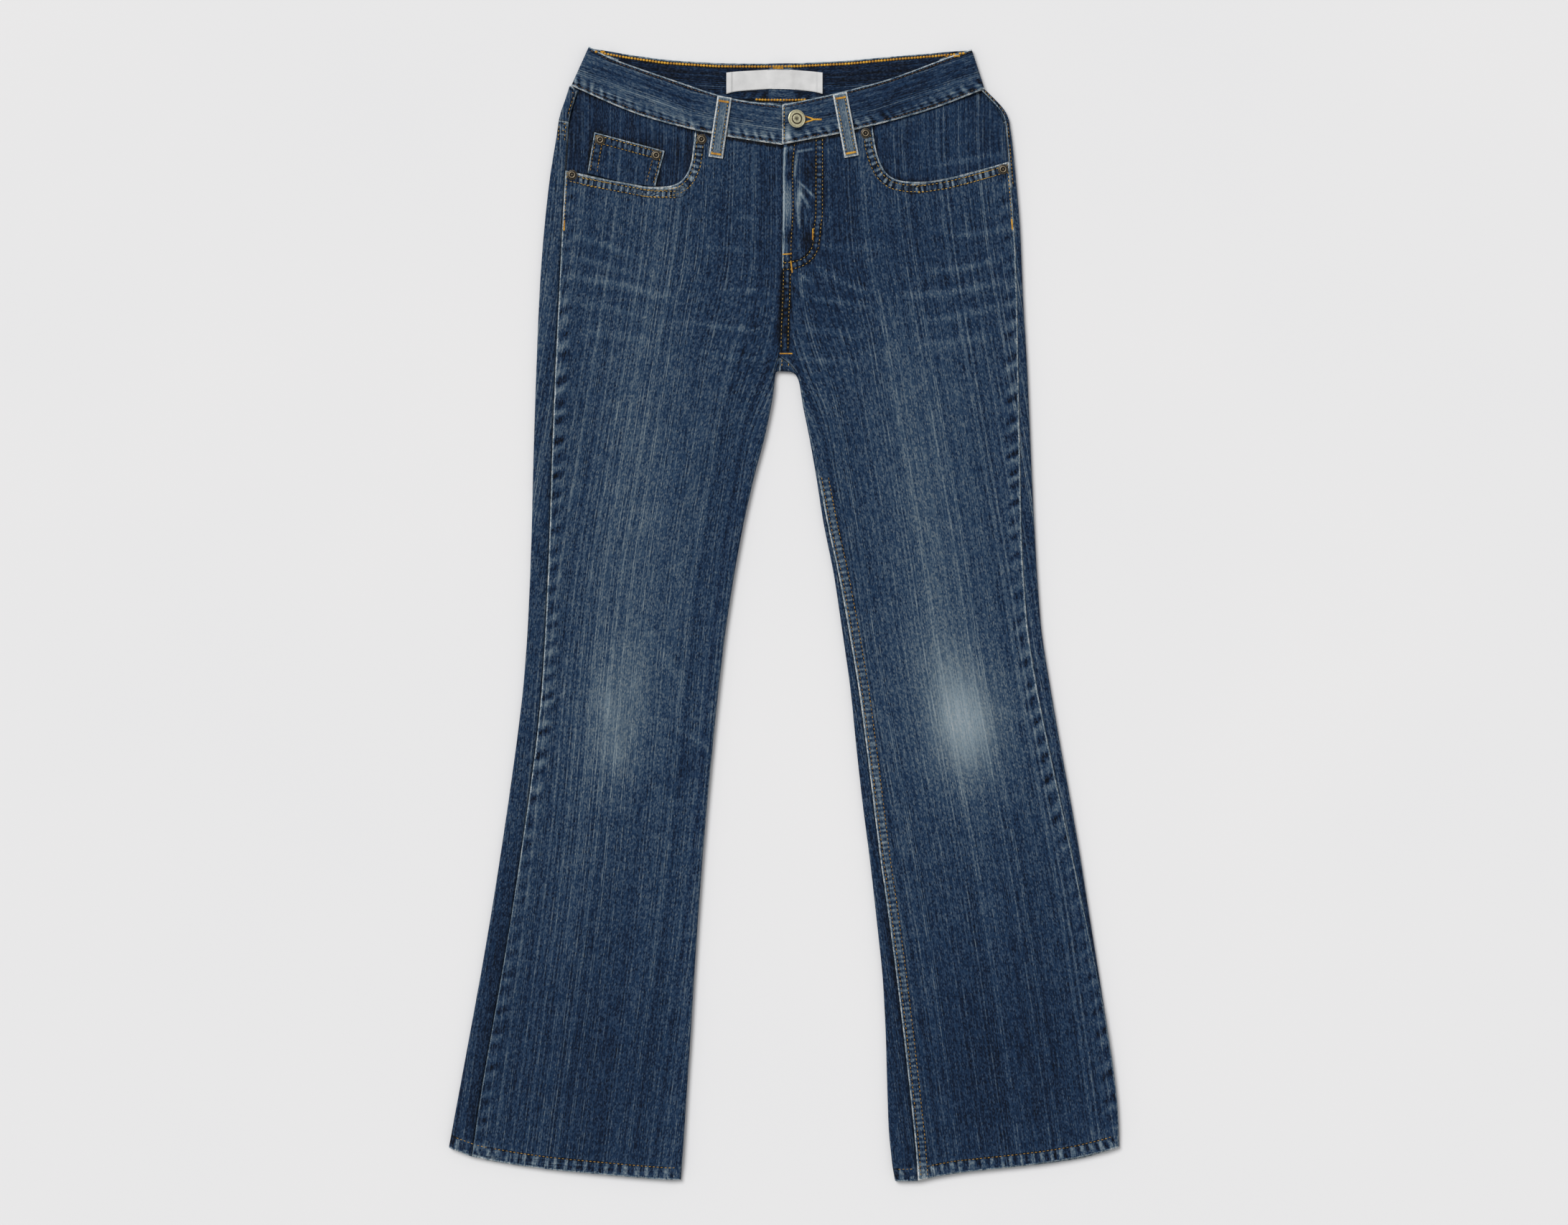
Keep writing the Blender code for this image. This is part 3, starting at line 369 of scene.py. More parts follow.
def edge_group() -> bpy.types.NodeTree:
    """Wear along a seam, from a map of the way along it and the distance from it.

    The edge is rubbed pale, each row of stitches lies in a dark groove, and the
    cloth between the edge and the last row has pale and dark marks by turns. Its ripple
    input adds the puckers' lightness and strips along edges, one of them painted shadow.

    Returns:
        The group.
    """
    group, t, given, out = new_group("edge_wear", ("Grain", "Seam", "Rows"), ("Wear", "Ripple"),
                                     ("Lightness", "Height"))
    way, distance, _ = t.parts(given["Seam"])
    first, last, strength = t.parts(given["Rows"])
    broken = t.noise(t.scaled(given["Grain"], 3.0, 2.0), 1.0, 2.0, 0.7)
    fray = t.noise(t.scaled(given["Grain"], 11.0, 9.0), 1.0, 1.0, 0.7)
    uneven = t.minus(fray, 0.5)
    reach = t.plus(distance, t.times(uneven, 2.2))
    rubbed = t.times(t.remap(reach, 0.45, t.plus(given["Wear"], 0.8), 1.0, 0.0),
                     t.remap(broken, 0.30, 0.62, 0.35, 1.0))
    groove = t.plus(t.bump_at(distance, first, 1.2), t.bump_at(distance, last, 1.2), clamp=True)
    drift = t.noise(t.add("ShaderNodeCombineXYZ", {"X": t.times(way, 0.43)}).outputs[0])
    turn = t.plus(t.times(way, math.tau), t.times(drift, 9.0))
    wave = t.math("SINE", t.plus(turn, t.times(uneven, 1.6)))
    between = t.times(t.remap(distance, 1.2, 2.4),
                      t.remap(t.minus(distance, last), -0.9, 0.9, 1.0, 0.0))
    marks = t.times(t.minus(t.remap(wave, -0.45, 0.75), 0.34), between)
    marks = t.times(marks, t.remap(broken, 0.32, 0.62, 0.30, 1.25))
    light = t.times(t.times(rubbed, given["Wear"]), 0.58)
    light = t.minus(light, t.times(groove, 0.17))
    light = t.plus(light, t.times(marks, strength))
    # the ripple input: the puckers' lightness and the strips along edges, with painted shadow
    # under the waistband
    light = t.plus(light, t.times(given["Ripple"], t.remap(broken, 0.2, 0.7, 0.6, 1.3)))
    t.feed(out["Lightness"], light)
    height = t.minus(t.remap(distance, 0.0, 1.0), t.times(groove, 0.6))
    t.feed(out["Height"], t.plus(height, t.times(marks, 0.7)))
    return group


def yarn_group() -> bpy.types.NodeTree:
    """The twist of a sewing thread and how far it is worn.

    Returns:
        The group.
    """
    group, t, given, out = new_group("yarn_twist", ("Place",), (), ("Wear", "Height"))
    turned = t.mapped(given["Place"], Rotation=(0.4, 0.3, math.radians(45.0)))
    twist = t.bands(turned, 900.0, 1.0)
    patch = t.noise(given["Place"], 160.0, 2.0, 0.6)
    t.feed(out["Wear"], t.remap(t.plus(patch, t.times(twist, 0.15)), 0.42, 0.72))
    t.feed(out["Height"], twist)
    return group


class Dye:
    """Makes each material once, from its finish."""

    def __init__(self) -> None:
        """Build the shared effects."""
        self.weave = weave_group()
        self.edge = edge_group()
        self.yarn = yarn_group()
        self.made: dict[str, bpy.types.Material] = {}

    def start(self, name: str,
              roughness: float) -> tuple[bpy.types.Material, Tree, bpy.types.Node]:
        """A new material with its shader.

        Args:
            name: the material's name.
            roughness: the shader's roughness.

        Returns:
            The material, its tree and its shader.
        """
        material = bpy.data.materials.new(name)
        material.use_nodes = True
        tree = Tree(material.node_tree)
        shader = tree.nodes["Principled BSDF"]
        tree.feed(shader.inputs["Roughness"], roughness)
        self.made[name] = material
        return material, tree, shader

    def denim(self, shade: Shade) -> bpy.types.Material:
        """Denim, faded and worn as the piece's own numbers say; on some pieces those numbers also
        hold painted shade and highlight.

        Args:
            shade: how it was washed.

        Returns:
            The material.
        """
        name = f"denim_{shade.value}"
        if name in self.made:
            return self.made[name]
        finish = DENIMS[shade]
        material, t, shader = self.start(name, 0.9)
        grain = t.grain()
        weave = t.group(self.weave, Grain=grain, Streaks=finish.streaks, Weft=finish.weft,
                        Speckle=finish.speckle, Mottle=finish.mottle)
        # the ripple number holds the puckers and edge strips, with the painted shadow under the
        # waistband
        edge = t.group(self.edge, Grain=grain, Seam=t.grain("seam"),
                       Rows=t.attribute("rows", "Vector"), Wear=t.attribute("wear"),
                       Ripple=t.attribute("ripple"))
        # the fade number holds the wash, with painted shade and highlight on some pieces
        fade = t.attribute("fade")
        quiet = t.times(t.remap(fade, 0.15, 0.27, 0.76, 1.0), t.remap(fade, 0.30, 0.62, 1.0, 0.6))
        light = t.plus(fade, t.times(weave["Lightness"], quiet))
        light = t.plus(light, edge["Lightness"], clamp=True)
        ramp = t.add("ShaderNodeValToRGB", {0: light})
        elements = ramp.color_ramp.elements
        while len(elements) < len(INDIGO):
            elements.new(0.5)
        for element, (place, colour) in zip(elements, INDIGO):
            element.position = place
            element.color = linear(*colour)
        bare = t.times(weave["Bare"], t.remap(light, 0.20, 0.50, 0.04, 0.24))
        dyed = t.mix(bare, ramp.outputs[0], linear(*WEFT))
        relief = t.bump(weave["Height"], 0.5, 0.0003)
        t.fill(shader, {
            "Base Color": t.mix(t.attribute("inside"), dyed, linear(*COTTON)),
            "Roughness": t.remap(light, 0.0, 1.0, 0.84, 0.96),
            "Normal": t.bump(edge["Height"], 0.5, 0.0006, Normal=relief),
            "Specular IOR Level": 0.12, "Sheen Weight": 0.02, "Sheen Roughness": 0.6,
        })
        return material

    def thread(self, thread: Thread) -> bpy.types.Material:
        """Sewing thread.

        Args:
            thread: its colour.

        Returns:
            The material.
        """
        name = f"thread_{thread.value}"
        if name in self.made:
            return self.made[name]
        finish = THREADS[thread]
        material, t, shader = self.start(name, 0.6)
        yarn = t.group(self.yarn, Place=t.here())
        t.fill(shader, {
            "Base Color": t.mix(yarn["Wear"], linear(*finish.light), linear(*finish.dark)),
            "Normal": t.bump(yarn["Height"], 0.4, 0.0001), "Sheen Weight": 0.04,
        })
        return material

    def metal(self, name: str, finish: MetalFinish) -> bpy.types.Material:
        """Antique metal, dark in its hollows and rubbed bright on its edges.

        Args:
            name: the material's name.
            finish: its colours and gloss.

        Returns:
            The material.
        """
        if name in self.made:
            return self.made[name]
        material, t, shader = self.start(name, finish.roughness)
        spots = t.noise(t.here(), finish.grain, 3.0, 0.65)
        worn = t.plus(t.attribute("rubbed"), t.times(t.minus(spots, 0.5), 0.5))
        worn = t.remap(worn, 0.25, 0.75)
        t.fill(shader, {
            "Base Color": t.mix(worn, linear(*finish.patina), linear(*finish.bright)),
            "Roughness": t.remap(spots, 0.3, 0.7, finish.roughness - 0.08,
                                 finish.roughness + 0.14),
            "Metallic": t.remap(worn, 0.0, 1.0, 0.6, 0.95),
            "Normal": t.bump(spots, 0.25, 0.0001),
        })
        return material

    def label(self) -> bpy.types.Material:
        """Off-white woven tape, darkened by painted shade along the label's folds.

        Returns:
            The material.
        """
        material, t, shader = self.start("label_tape", 0.72)
        grain = t.grain()
        cloth = t.times(t.bands(grain, 6.0, 0.5), t.bands(grain, 7.0, 0.5, "Y"))
        tone = t.plus(t.times(cloth, 0.25), t.times(t.noise(grain, 0.9, 3.0), 0.75))
        # painted shade along the label's folds
        tone = t.times(tone, t.attribute("fade"))
        t.fill(shader, {
            "Base Color": t.mix(tone, linear(188, 188, 188), linear(236, 235, 234)),
            "Normal": t.bump(cloth, 0.4, 0.0002), "Sheen Weight": 0.25,
        })
        return material

    def floor(self) -> bpy.types.Material:
        """Plain pale floor."""
        material, t, shader = self.start("floor_paint", 0.9)
        tone = t.noise(t.here(), 3.0)
        t.fill(shader, {"Base Color": t.mix(tone, linear(229, 229, 230), linear(233, 232, 232)),
                        "Specular IOR Level": 0.1})
        return material


def put(name: str, data: bpy.types.ID) -> bpy.types.Object:
    """A new object in the scene."""
    obj = bpy.data.objects.new(name, data)
    bpy.context.scene.collection.objects.link(obj)
    return obj


def as_mesh(bm: bmesh.types.BMesh, name: str) -> bpy.types.Mesh:
    """A new mesh of a finished bmesh, which is freed."""
    mesh = bpy.data.meshes.new(name)
    bm.to_mesh(mesh)
    bm.free()
    return mesh


# ---- Curves in the plane ----

def smooth_run(points: Array, step: float) -> Array:
    """Points a step apart on a line, with its small corners eased.

    Args:
        points: the points, in order, one a row.
        step: spacing of the new ones, in the same unit.

    Returns:
        The new points.
    """
    along = np.concatenate([[0.0], np.cumsum(np.linalg.norm(np.diff(points, axis=0), axis=1))])
    places = np.linspace(0.0, along[-1], max(int(round(along[-1] / step)), 2) + 1)
    line = np.column_stack([np.interp(places, along, column) for column in points.T])
    for _ in range(int(math.ceil(8.0 / step))):
        line[1:-1] = 0.25 * line[:-2] + 0.5 * line[1:-1] + 0.25 * line[2:]
    return line


def nearest_on_line(points: Array, line: Array,
                    reach: float = EDGE_REACH) -> tuple[Array, Array]:
    """Distance of each plan point to a line, and the way along it.

    Args:
        points: plan points, one a row.
        line: the line's points, in order.
        reach: how far from the line it is worked out.

    Returns:
        The distances, at most the reach, and the ways along the line.
    """
    order = np.argsort(points[:, 1])
    heights = points[order, 1]
    best = np.full(len(points), reach)
    way = np.zeros(len(points))
    so_far = 0.0
    for a, b in zip(line[:-1], line[1:]):
        run = b - a
        length = float(np.linalg.norm(run))
        if length < 1e-9:
            continue
        low = np.searchsorted(heights, min(a[1], b[1]) - reach)
        high = np.searchsorted(heights, max(a[1], b[1]) + reach)
        index = order[low:high]
        near = points[index] - a
        share = np.clip((near @ run) / length ** 2, 0.0, 1.0)
        gap = np.linalg.norm(near - share[:, None] * run, axis=1)
        closer = gap < best[index]
        index = index[closer]
        best[index] = gap[closer]
        way[index] = so_far + share[closer] * length
        so_far += length
    return best, way


def inset(line: Array, distance: float, trim: float = 2.0) -> Array:
    """A line moved to the left of its direction.

    Args:
        line: points in order, of which x and y are used.
        distance: how far it moves.
        trim: how much is cut off each end.

    Returns:
        The plan points of the moved line.
    """
    fine = smooth_run(line[:, :2], 1.0)
    run = np.gradient(fine, axis=0)
    run /= np.maximum(np.linalg.norm(run, axis=1), 1e-9)[:, None]
    moved = fine + np.column_stack([-run[:, 1], run[:, 0]]) * distance
    skip = int(round(trim))
    return moved[skip:len(moved) - skip] if skip else moved


def ease(values: Array, low: float, high: float) -> Array:
    """Smooth step from 0 at low to 1 at high."""
    share = np.clip((values - low) / (high - low), 0.0, 1.0)
    return share * share * (3.0 - 2.0 * share)


def uneven_waves(way: Array, spacing: float, seed: float) -> Array:
    """Waves along a seam that never repeat evenly.

    Args:
        way: distances along the seam.
        spacing: from one wave to the next, in the same unit.
        seed: number that sets these waves apart from another seam's.

    Returns:
        The waves' height, from -1 to 1.
    """
    drift = 2.1 * np.sin(way / (spacing * 3.7) + seed)
    drift += 1.3 * np.sin(way / (spacing * 1.9) + 2.3 * seed)
    main = np.sin(2 * math.pi * way / spacing + drift)
    extra = np.sin(2 * math.pi * way / (spacing * 0.61) + 1.7 * drift + seed)
    size = 0.76 + 0.24 * np.sin(way / (spacing * 2.6) + 4.1 * seed)
    return np.clip((0.75 * main + 0.35 * extra) * size, -1.0, 1.0)


# ---- What the wash and the wearing left, and painted shade along creases: places in millimetres ----

@dataclass(frozen=True)
class Fade:
    """A soft light or dark patch."""

    x: float
    y: float
    across: float
    along: float
    lean: float         # degrees, anticlockwise
    strength: float

    def at(self, plan: Array) -> Array:
        """Its strength at each plan point.

        Args:
            plan: plan points, in millimetres.

        Returns:
            Its lightness at each point.
        """
        angle = math.radians(self.lean)
        dx, dy = plan[:, 0] - self.x, plan[:, 1] - self.y
        u = dx * math.cos(angle) + dy * math.sin(angle)
        v = -dx * math.sin(angle) + dy * math.cos(angle)
        return self.strength * np.exp(-(u / self.across) ** 2 - (v / self.along) ** 2)


@dataclass(frozen=True)
class Stroke:
    """A crease or a worn line between two points, bowed sideways."""

    start: Point
    end: Point
    bow: float
    width: float
    strength: float     # lightness
    height: float       # relief in millimetres

    def mask(self, plan: Array) -> Array:
        """How much of it each plan point has, from 0 to 1.

        Args:
            plan: plan points, in millimetres.

        Returns:
            A share for each point, from 0 to 1.
        """
        a, b = np.array(self.start), np.array(self.end)
        run = b - a
        length = np.linalg.norm(run)
        across = np.array([-run[1], run[0]]) / length
        share = ((plan - a) @ run) / length ** 2
        inside = np.clip(share, 0.0, 1.0)
        bulge = 4 * self.bow * inside * (1 - inside)
        middle = a + inside[:, None] * run + bulge[:, None] * across
        gap = np.linalg.norm(plan - middle, axis=1)
        ends = ease(share, -0.02, 0.28) * (1.0 - ease(share, 0.72, 1.02))
        core = np.exp(-(gap / self.width) ** 2)
        halo = np.exp(-(gap / (2.2 * self.width)) ** 2)
        return (1.35 * core - 0.45 * halo) * ends


def fades(*rows: tuple[float, ...]) -> tuple[Fade, ...]:
    """A table of patches."""
    return tuple(Fade(*row) for row in rows)


def strokes(*rows: tuple) -> tuple[Stroke, ...]:
    """A table of strokes."""
    return tuple(Stroke(*row) for row in rows)


def patches_at(patches: tuple[Fade, ...], plan: Array) -> Array:
    """Lightness of all the patches at each plan point."""
    return sum(patch.at(plan) for patch in patches)


def tones_at(lines: tuple[Stroke, ...], plan: Array) -> Array:
    """Lightness of all the strokes at each plan point."""
    return sum(line.strength * line.mask(plan) for line in lines)


def heights_at(lines: tuple[Stroke, ...], plan: Array) -> Array:
    """Relief of all the strokes at each plan point, in millimetres."""
    return sum(line.height * line.mask(plan) for line in lines)


FRONT_FADES = fades(
    (-126, 190, 46, 130, -6, 0.045), (-134, 40, 44, 110, -5, 0.060), (126, 190, 46, 130, 6, 0.070),
    (142, 40, 42, 110, 6, 0.075), (169, -102, 30, 48, 8, 0.29), (162, -92, 50, 80, 8, 0.14),
    (140, -40, 22, 40, 8, 0.04), (-168, -74, 11, 26, 4, 0.06), (-158, -132, 15, 24, 0, 0.07),
    (-152, -98, 34, 58, -8, 0.16), (-90, -142, 16, 16, 20, -0.07), (-140, -40, 26, 46, -14, 0.05),
    (3, 284, 5, 34, 0, -0.10), (-3, 276, 4, 44, 0, -0.12), (50, 398, 13, 46, 0, -0.06),
    (-10, 405, 7, 36, 0, -0.06), (-7, 386, 3, 11, 0, 0.12), (-6, 300, 22, 30, 0, 0.03),
    (120, 330, 90, 60, 0, -0.045), (-8, 330, 76, 110, 0, -0.055),
    (-190, -430, 110, 150, 0, -0.075), (200, -430, 110, 150, 0, -0.085),
    (46, 60, 20, 120, 9, -0.02), (-46, 90, 20, 110, -9, -0.04), (122, -521, 5, 7, 0, 0.32),
)

# The same on the fly: between its edge and its first row, then inside the J
FLY_FADES = fades(
    (4.0, 381, 3.6, 17, 0, 0.32), (3.8, 408, 2.8, 4.5, 0, -0.14), (4.6, 425, 2.6, 7, 0, -0.14),
    (3.6, 350, 3.2, 8, 0, -0.10), (1.5, 341, 3, 4, 0, 0.14), (5, 433, 4, 2.2, 10, 0.18),
    (13.8, 389, 2.8, 9, -8, 0.40), (22.5, 413, 7, 13, 0, -0.12), (21, 349, 6.5, 9, 0, -0.13),
    (42, 368, 3.5, 12, 0, 0.06), (38.5, 432, 6, 3, 8, 0.08), (34, 369, 2.4, 4, 0, 0.14),
    (25, 391, 1.8, 6, 0, 0.12), (26.5, 369, 2.4, 3.2, 0, 0.10), (14, 322, 9, 4, -12, 0.06),
    (3, 331, 2.4, 10, 0, 0.10), (16, 311, 8, 3, 14, 0.12), (9, 303, 3, 6, 20, -0.10),
)

BAND_FADES = fades(
    (4, 446, 3.8, 7, 0, 0.42), (2, 470, 3, 5, 0, 0.2), (-100, 466, 70, 8, -15, 0.04),
    (-30, 449, 24, 5, -6, 0.07), (-150, 492, 36, 8, -22, 0.05), (110, 480, 80, 30, 15, -0.12),
    (60, 457, 30, 8, 8, 0.07), (150, 487, 30, 7, 20, 0.08), (-120, 490, 60, 6, -17, -0.08),
    (26, 468, 20, 6, 6, 0.07),
)

FACING_FADES = fades(
    (150, 440, 40, 18, 10, 0.02), (190, 440, 10, 30, 0, -0.05), (-80, 425, 14, 18, 0, -0.05),
    (-120, 455, 60, 8, -18, 0.05), (110, 462, 50, 7, 17, 0.07), (176, 424, 34, 3.2, 9, 0.10),
)

WHISKERS = strokes(
    ((-205, 354), (-132, 328), 3, 3.2, 0.13, 0.4), ((-206, 332), (-128, 310), 4, 3.4, 0.10, 0.4),
    ((-206, 314), (-88, 286), 5, 3.8, 0.14, 0.5), ((-204, 290), (-120, 270), 5, 3.8, 0.09, 0.4),
    ((-196, 262), (-118, 250), 3, 4.4, 0.07, 0.3), ((-96, 274), (-6, 264), -3, 2.8, 0.12, 0.3),
    ((-62, 302), (-5, 297), 2, 2.6, 0.10, 0.3), ((-48, 368), (-5, 365), 2, 2.6, 0.07, 0.2),
    ((-88, 342), (-12, 330), 4, 3.4, 0.06, 0.3), ((-84, 246), (-10, 238), -3, 3.0, 0.08, 0.3),
    ((150, 352), (214, 362), -3, 3.2, 0.12, 0.4), ((128, 318), (214, 336), -4, 3.4, 0.12, 0.4),
    ((92, 296), (212, 312), -5, 4.0, 0.12, 0.5), ((116, 272), (210, 290), -4, 4.0, 0.10, 0.4),
    ((120, 250), (202, 262), -3, 4.4, 0.07, 0.3), ((22, 328), (92, 296), -4, 4.2, 0.10, 0.4),
    ((5, 300), (86, 290), -4, 3.2, 0.08, 0.3), ((12, 346), (110, 344), -4, 4.0, 0.06, 0.3),
    ((6, 268), (84, 262), -3, 3.2, 0.08, 0.3), ((10, 240), (76, 236), -3, 3.2, 0.06, 0.3),
)

FLY_STROKES = strokes(
    ((12.6, 432), (9.6, 401), -0.6, 1.5, 0.36, 0.3), ((9, 429.5), (31, 433), 0.6, 1.3, 0.30, 0.3),
    ((12, 404), (31, 384), 0.8, 1.2, 0.34, 0.3), ((14, 394), (23.5, 376), 0.8, 1.7, 0.34, 0.3),
    ((12.6, 386), (14.6, 357), -0.4, 1.7, 0.34, 0.3),
    ((18.6, 380), (21, 359), 0.5, 1.2, 0.26, 0.3), ((20, 420), (27, 410), 0.5, 1.2, 0.08, 0.2),
    ((12, 352), (13.5, 338), 0.4, 1.6, 0.18, 0.3), ((10, 318), (26, 309), 1, 1.6, 0.16, 0.4),
    ((8, 308), (18, 296), 1, 1.6, 0.14, 0.4),
)

# Creases, with lightness and relief: the dark strokes are painted shade in the creases; the light
# ones lie on raised lines
CREASES = strokes(
    ((-146, 14), (-110, -30), 3, 2.2, -0.07, -0.8), ((-122, -22), (-80, -68), 3, 2.0, -0.06, -0.8),
    ((-142, 0), (-88, -86), 8, 6, 0.04, 1.3), ((-170, -70), (-152, -160), 5, 8, 0.04, 1.4),
    ((-118, -50), (-96, -128), -4, 11, -0.03, -0.9), ((-84, -118), (-68, -128), 1, 2.4, 0.10, 0.5),
    ((-136, -94), (-72, -126), 5, 3.4, 0.07, 0.4), ((-128, -150), (-92, -178), 5, 6, -0.04, -0.8),
    ((-196, -66), (-228, -84), 3, 3.4, 0.05, 0.5), ((112, -40), (128, -140), 7, 13, -0.03, -1.2),
    ((188, -20), (210, -150), -8, 14, -0.02, 1.2), ((196, -84), (230, -96), -3, 3.4, 0.06, 0.5),
    ((70, 196), (120, 60), 8, 16, 0.0, 1.5), ((-60, 190), (-110, 60), -8, 16, 0.0, 1.5),
    ((-190, 240), (-186, 120), 5, 12, -0.01, -1.0), ((190, 236), (199, 100), -5, 12, -0.01, -1.0),
    ((-176, -230), (-214, -350), 6, 20, 0.0, 1.8), ((206, -230), (232, -370), -6, 20, 0.0, 1.8),
    ((-120, -300), (-134, -450), -6, 22, 0.0, 1.6), ((150, -300), (168, -450), 6, 22, 0.0, 1.6),
    ((-240, -330), (-262, -470), 5, 14, 0.0, -1.0), ((256, -330), (276, -460), -5, 14, 0.0, -1.0),
    ((60, 400), (120, 372), 4, 9, 0.0, 0.8), ((-60, 398), (-116, 374), -4, 9, 0.0, 0.8),
)

UNDER_FADES = fades(
    (-110, 330, 70, 70, 0, 0.10), (110, 330, 70, 70, 0, 0.10), (-120, 120, 55, 110, -5, 0.08),
    (120, 120, 55, 110, 5, 0.08), (-140, -90, 50, 70, 0, 0.03), (150, -90, 50, 70, 0, 0.03),
)

UNDER_CREASES = strokes(
    ((-205, -40), (-92, -74), -7, 6, 0.08, 0.25), ((-196, -112), (-92, -96), 6, 6, 0.07, 0.25),
    ((-190, -6), (-104, -34), -5, 5, 0.05, 0.2), ((202, -36), (98, -70), 7, 6, 0.08, 0.25),
    ((214, -104), (104, -92), -6, 6, 0.07, 0.25), ((196, -2), (108, -30), 5, 5, 0.05, 0.2),
    ((-20, 236), (-120, 216), 6, 6, 0.07, 0.25), ((20, 234), (118, 212), -6, 6, 0.07, 0.25),
    ((-26, 214), (-104, 190), 5, 6, 0.05, 0.2), ((24, 210), (102, 188), -5, 6, 0.05, 0.2),
)

# The J of the fly, its inner line, the edge stitch, and the felled seam below
FLY_LINES = (
    ((35.8, 442.5), (35.8, 371.0), (34.2, 361.0), (33.3, 350.0), (32.2, 341.0), (28.7, 333.5),
     (22.4, 327.0), (16.0, 323.5), (7.8, 321.0), (-0.8, 320.7)),
    ((30.0, 442.0), (29.8, 411.0), (29.7, 371.0), (28.2, 361.0), (27.5, 348.0), (26.3, 341.0),
     (22.2, 334.4), (16.0, 329.8), (6.9, 327.5), (-0.8, 326.8)),
    ((9.8, 437.5), (8.3, 421.0), (8.0, 402.0), (8.5, 384.0), (8.2, 371.0), (7.2, 357.0),
     (6.5, 345.0), (6.3, 318.0)),
    ((-0.4, 333.0), (-0.3, 317.0), (-1.0, 298.0), (-2.2, 272.0), (-2.8, 245.0)),
    ((6.1, 317.0), (5.4, 298.0), (4.2, 272.0), (3.6, 245.0)),
)
FLY_EDGE = ((1.0, 437.0), (0.4, 430.0), (-0.1, 412.0), (-0.2, 375.0), (-0.6, 357.0),
            (-1.0, 343.0), (-1.3, 318.0))
# Between the rows of the J and of the centre seam
FLY_STRIPS = (
    ((32.8, 440.0), (32.7, 371.0), (31.1, 361.0), (30.4, 349.0), (29.0, 340.5), (22.3, 330.7),
     (16.0, 326.7), (6.0, 324.2)),
    ((2.9, 317.0), (2.2, 298.0), (1.0, 272.0), (0.4, 245.0)),
)
FLY_AREA = ((-4.0, 300.0), (44.0, 446.0))
FLY_TACKS = (
    ((26.9, 358.5), (26.7, 348.6)), ((-1.0, 334.8), (6.9, 335.3)), ((6.4, 328.0), (7.7, 318.0)),
    ((-3.6, 242.4), (7.5, 242.4)),
)

# The tilt of the threads from upright, in degrees: y, right leg, left leg
GRAIN_TILT = (
    (440.0, 2.5, -2.5), (385.0, 5.5, -6.0), (310.0, 9.0, -9.5), (90.0, 9.5, -10.0),
    (17.0, 6.8, -8.0), (-95.0, 4.5, -10.5), (-204.0, 5.8, -10.5), (-315.0, 7.5, -8.5),
    (-530.0, 7.5, -7.5),
)


def grain_shift(y: Array, right: bool) -> Array:
    """How far the threads have wandered sideways on one leg.

    Args:
        y: heights on the leg, in millimetres.
        right: whether it is the wearer's right leg.

    Returns:
        The shift at each height, in millimetres.
    """
    heights = np.array([row[0] for row in GRAIN_TILT])[::-1]
    tilts = np.array([row[1 if right else 2] for row in GRAIN_TILT])[::-1]
    stations = np.linspace(-540.0, 440.0, 400)
    slopes = np.tan(np.radians(np.interp(stations, heights, tilts)))
    steps = 0.5 * (slopes[1:] + slopes[:-1]) * np.diff(stations)
    shift = np.concatenate([[0.0], np.cumsum(steps)])
    shift -= shift[-1]
    return np.interp(y, stations, shift)


def leg_grain(plan: Array) -> Array:
    """The map along the threads of the legs, in centimetres."""
    x, y = plan[:, 0], plan[:, 1]
    spread = ease(np.abs(x) / 120.0 + np.clip(330.0 - y, 0.0, None) / 260.0, 0.0, 1.0)
    shift = np.where(x < 0.0, grain_shift(y, True), grain_shift(y, False))
    return np.column_stack([(x - shift * spread) * 0.1, y * 0.1])


# ---- Cloth ----

@dataclass(frozen=True)
class Edging:
    """How a stretch of edge is sewn and worn; sizes in millimetres."""

    wear: float = 0.0                   # paleness of the edge itself
    rows: tuple[float, ...] = ()        # distances of its rows of stitches
    thread: Thread = Thread.AMBER
    marks: float = 0.0                  # strength of the pale and dark marks
    spacing: float = 5.0                # from one mark to the next
    ripple: float = 0.0                 # strength of the slow puckers
    wave: float = 12.0                  # from one pucker to the next
    reach: float = 14.0                 # how far in they run
    lift: float = 0.0                   # lightness added along the edge: pale wear on some edges, painted shadow under the waistband
    low: float = 1.0                    # share of the wear left low on the legs
    top: float = 900.0                  # y above which the edge is rolled under


@dataclass
class Stretch:
    """A stretch of a piece's edge, in order, with what it is sewn to."""

    beside: str
    points: Array      # millimetres, x y z
    upper: bool

    @property
    def inward(self) -> float:
        """The side of its direction that the cloth is on, in plan."""
        return 1.0 if self.upper else -1.0

    @property
    def middle(self) -> Array:
        """Mean place of its points."""
        return self.points.mean(axis=0)

    @property
    def length(self) -> float:
        """Length along it."""
        return float(np.linalg.norm(np.diff(self.points, axis=0), axis=1).sum())


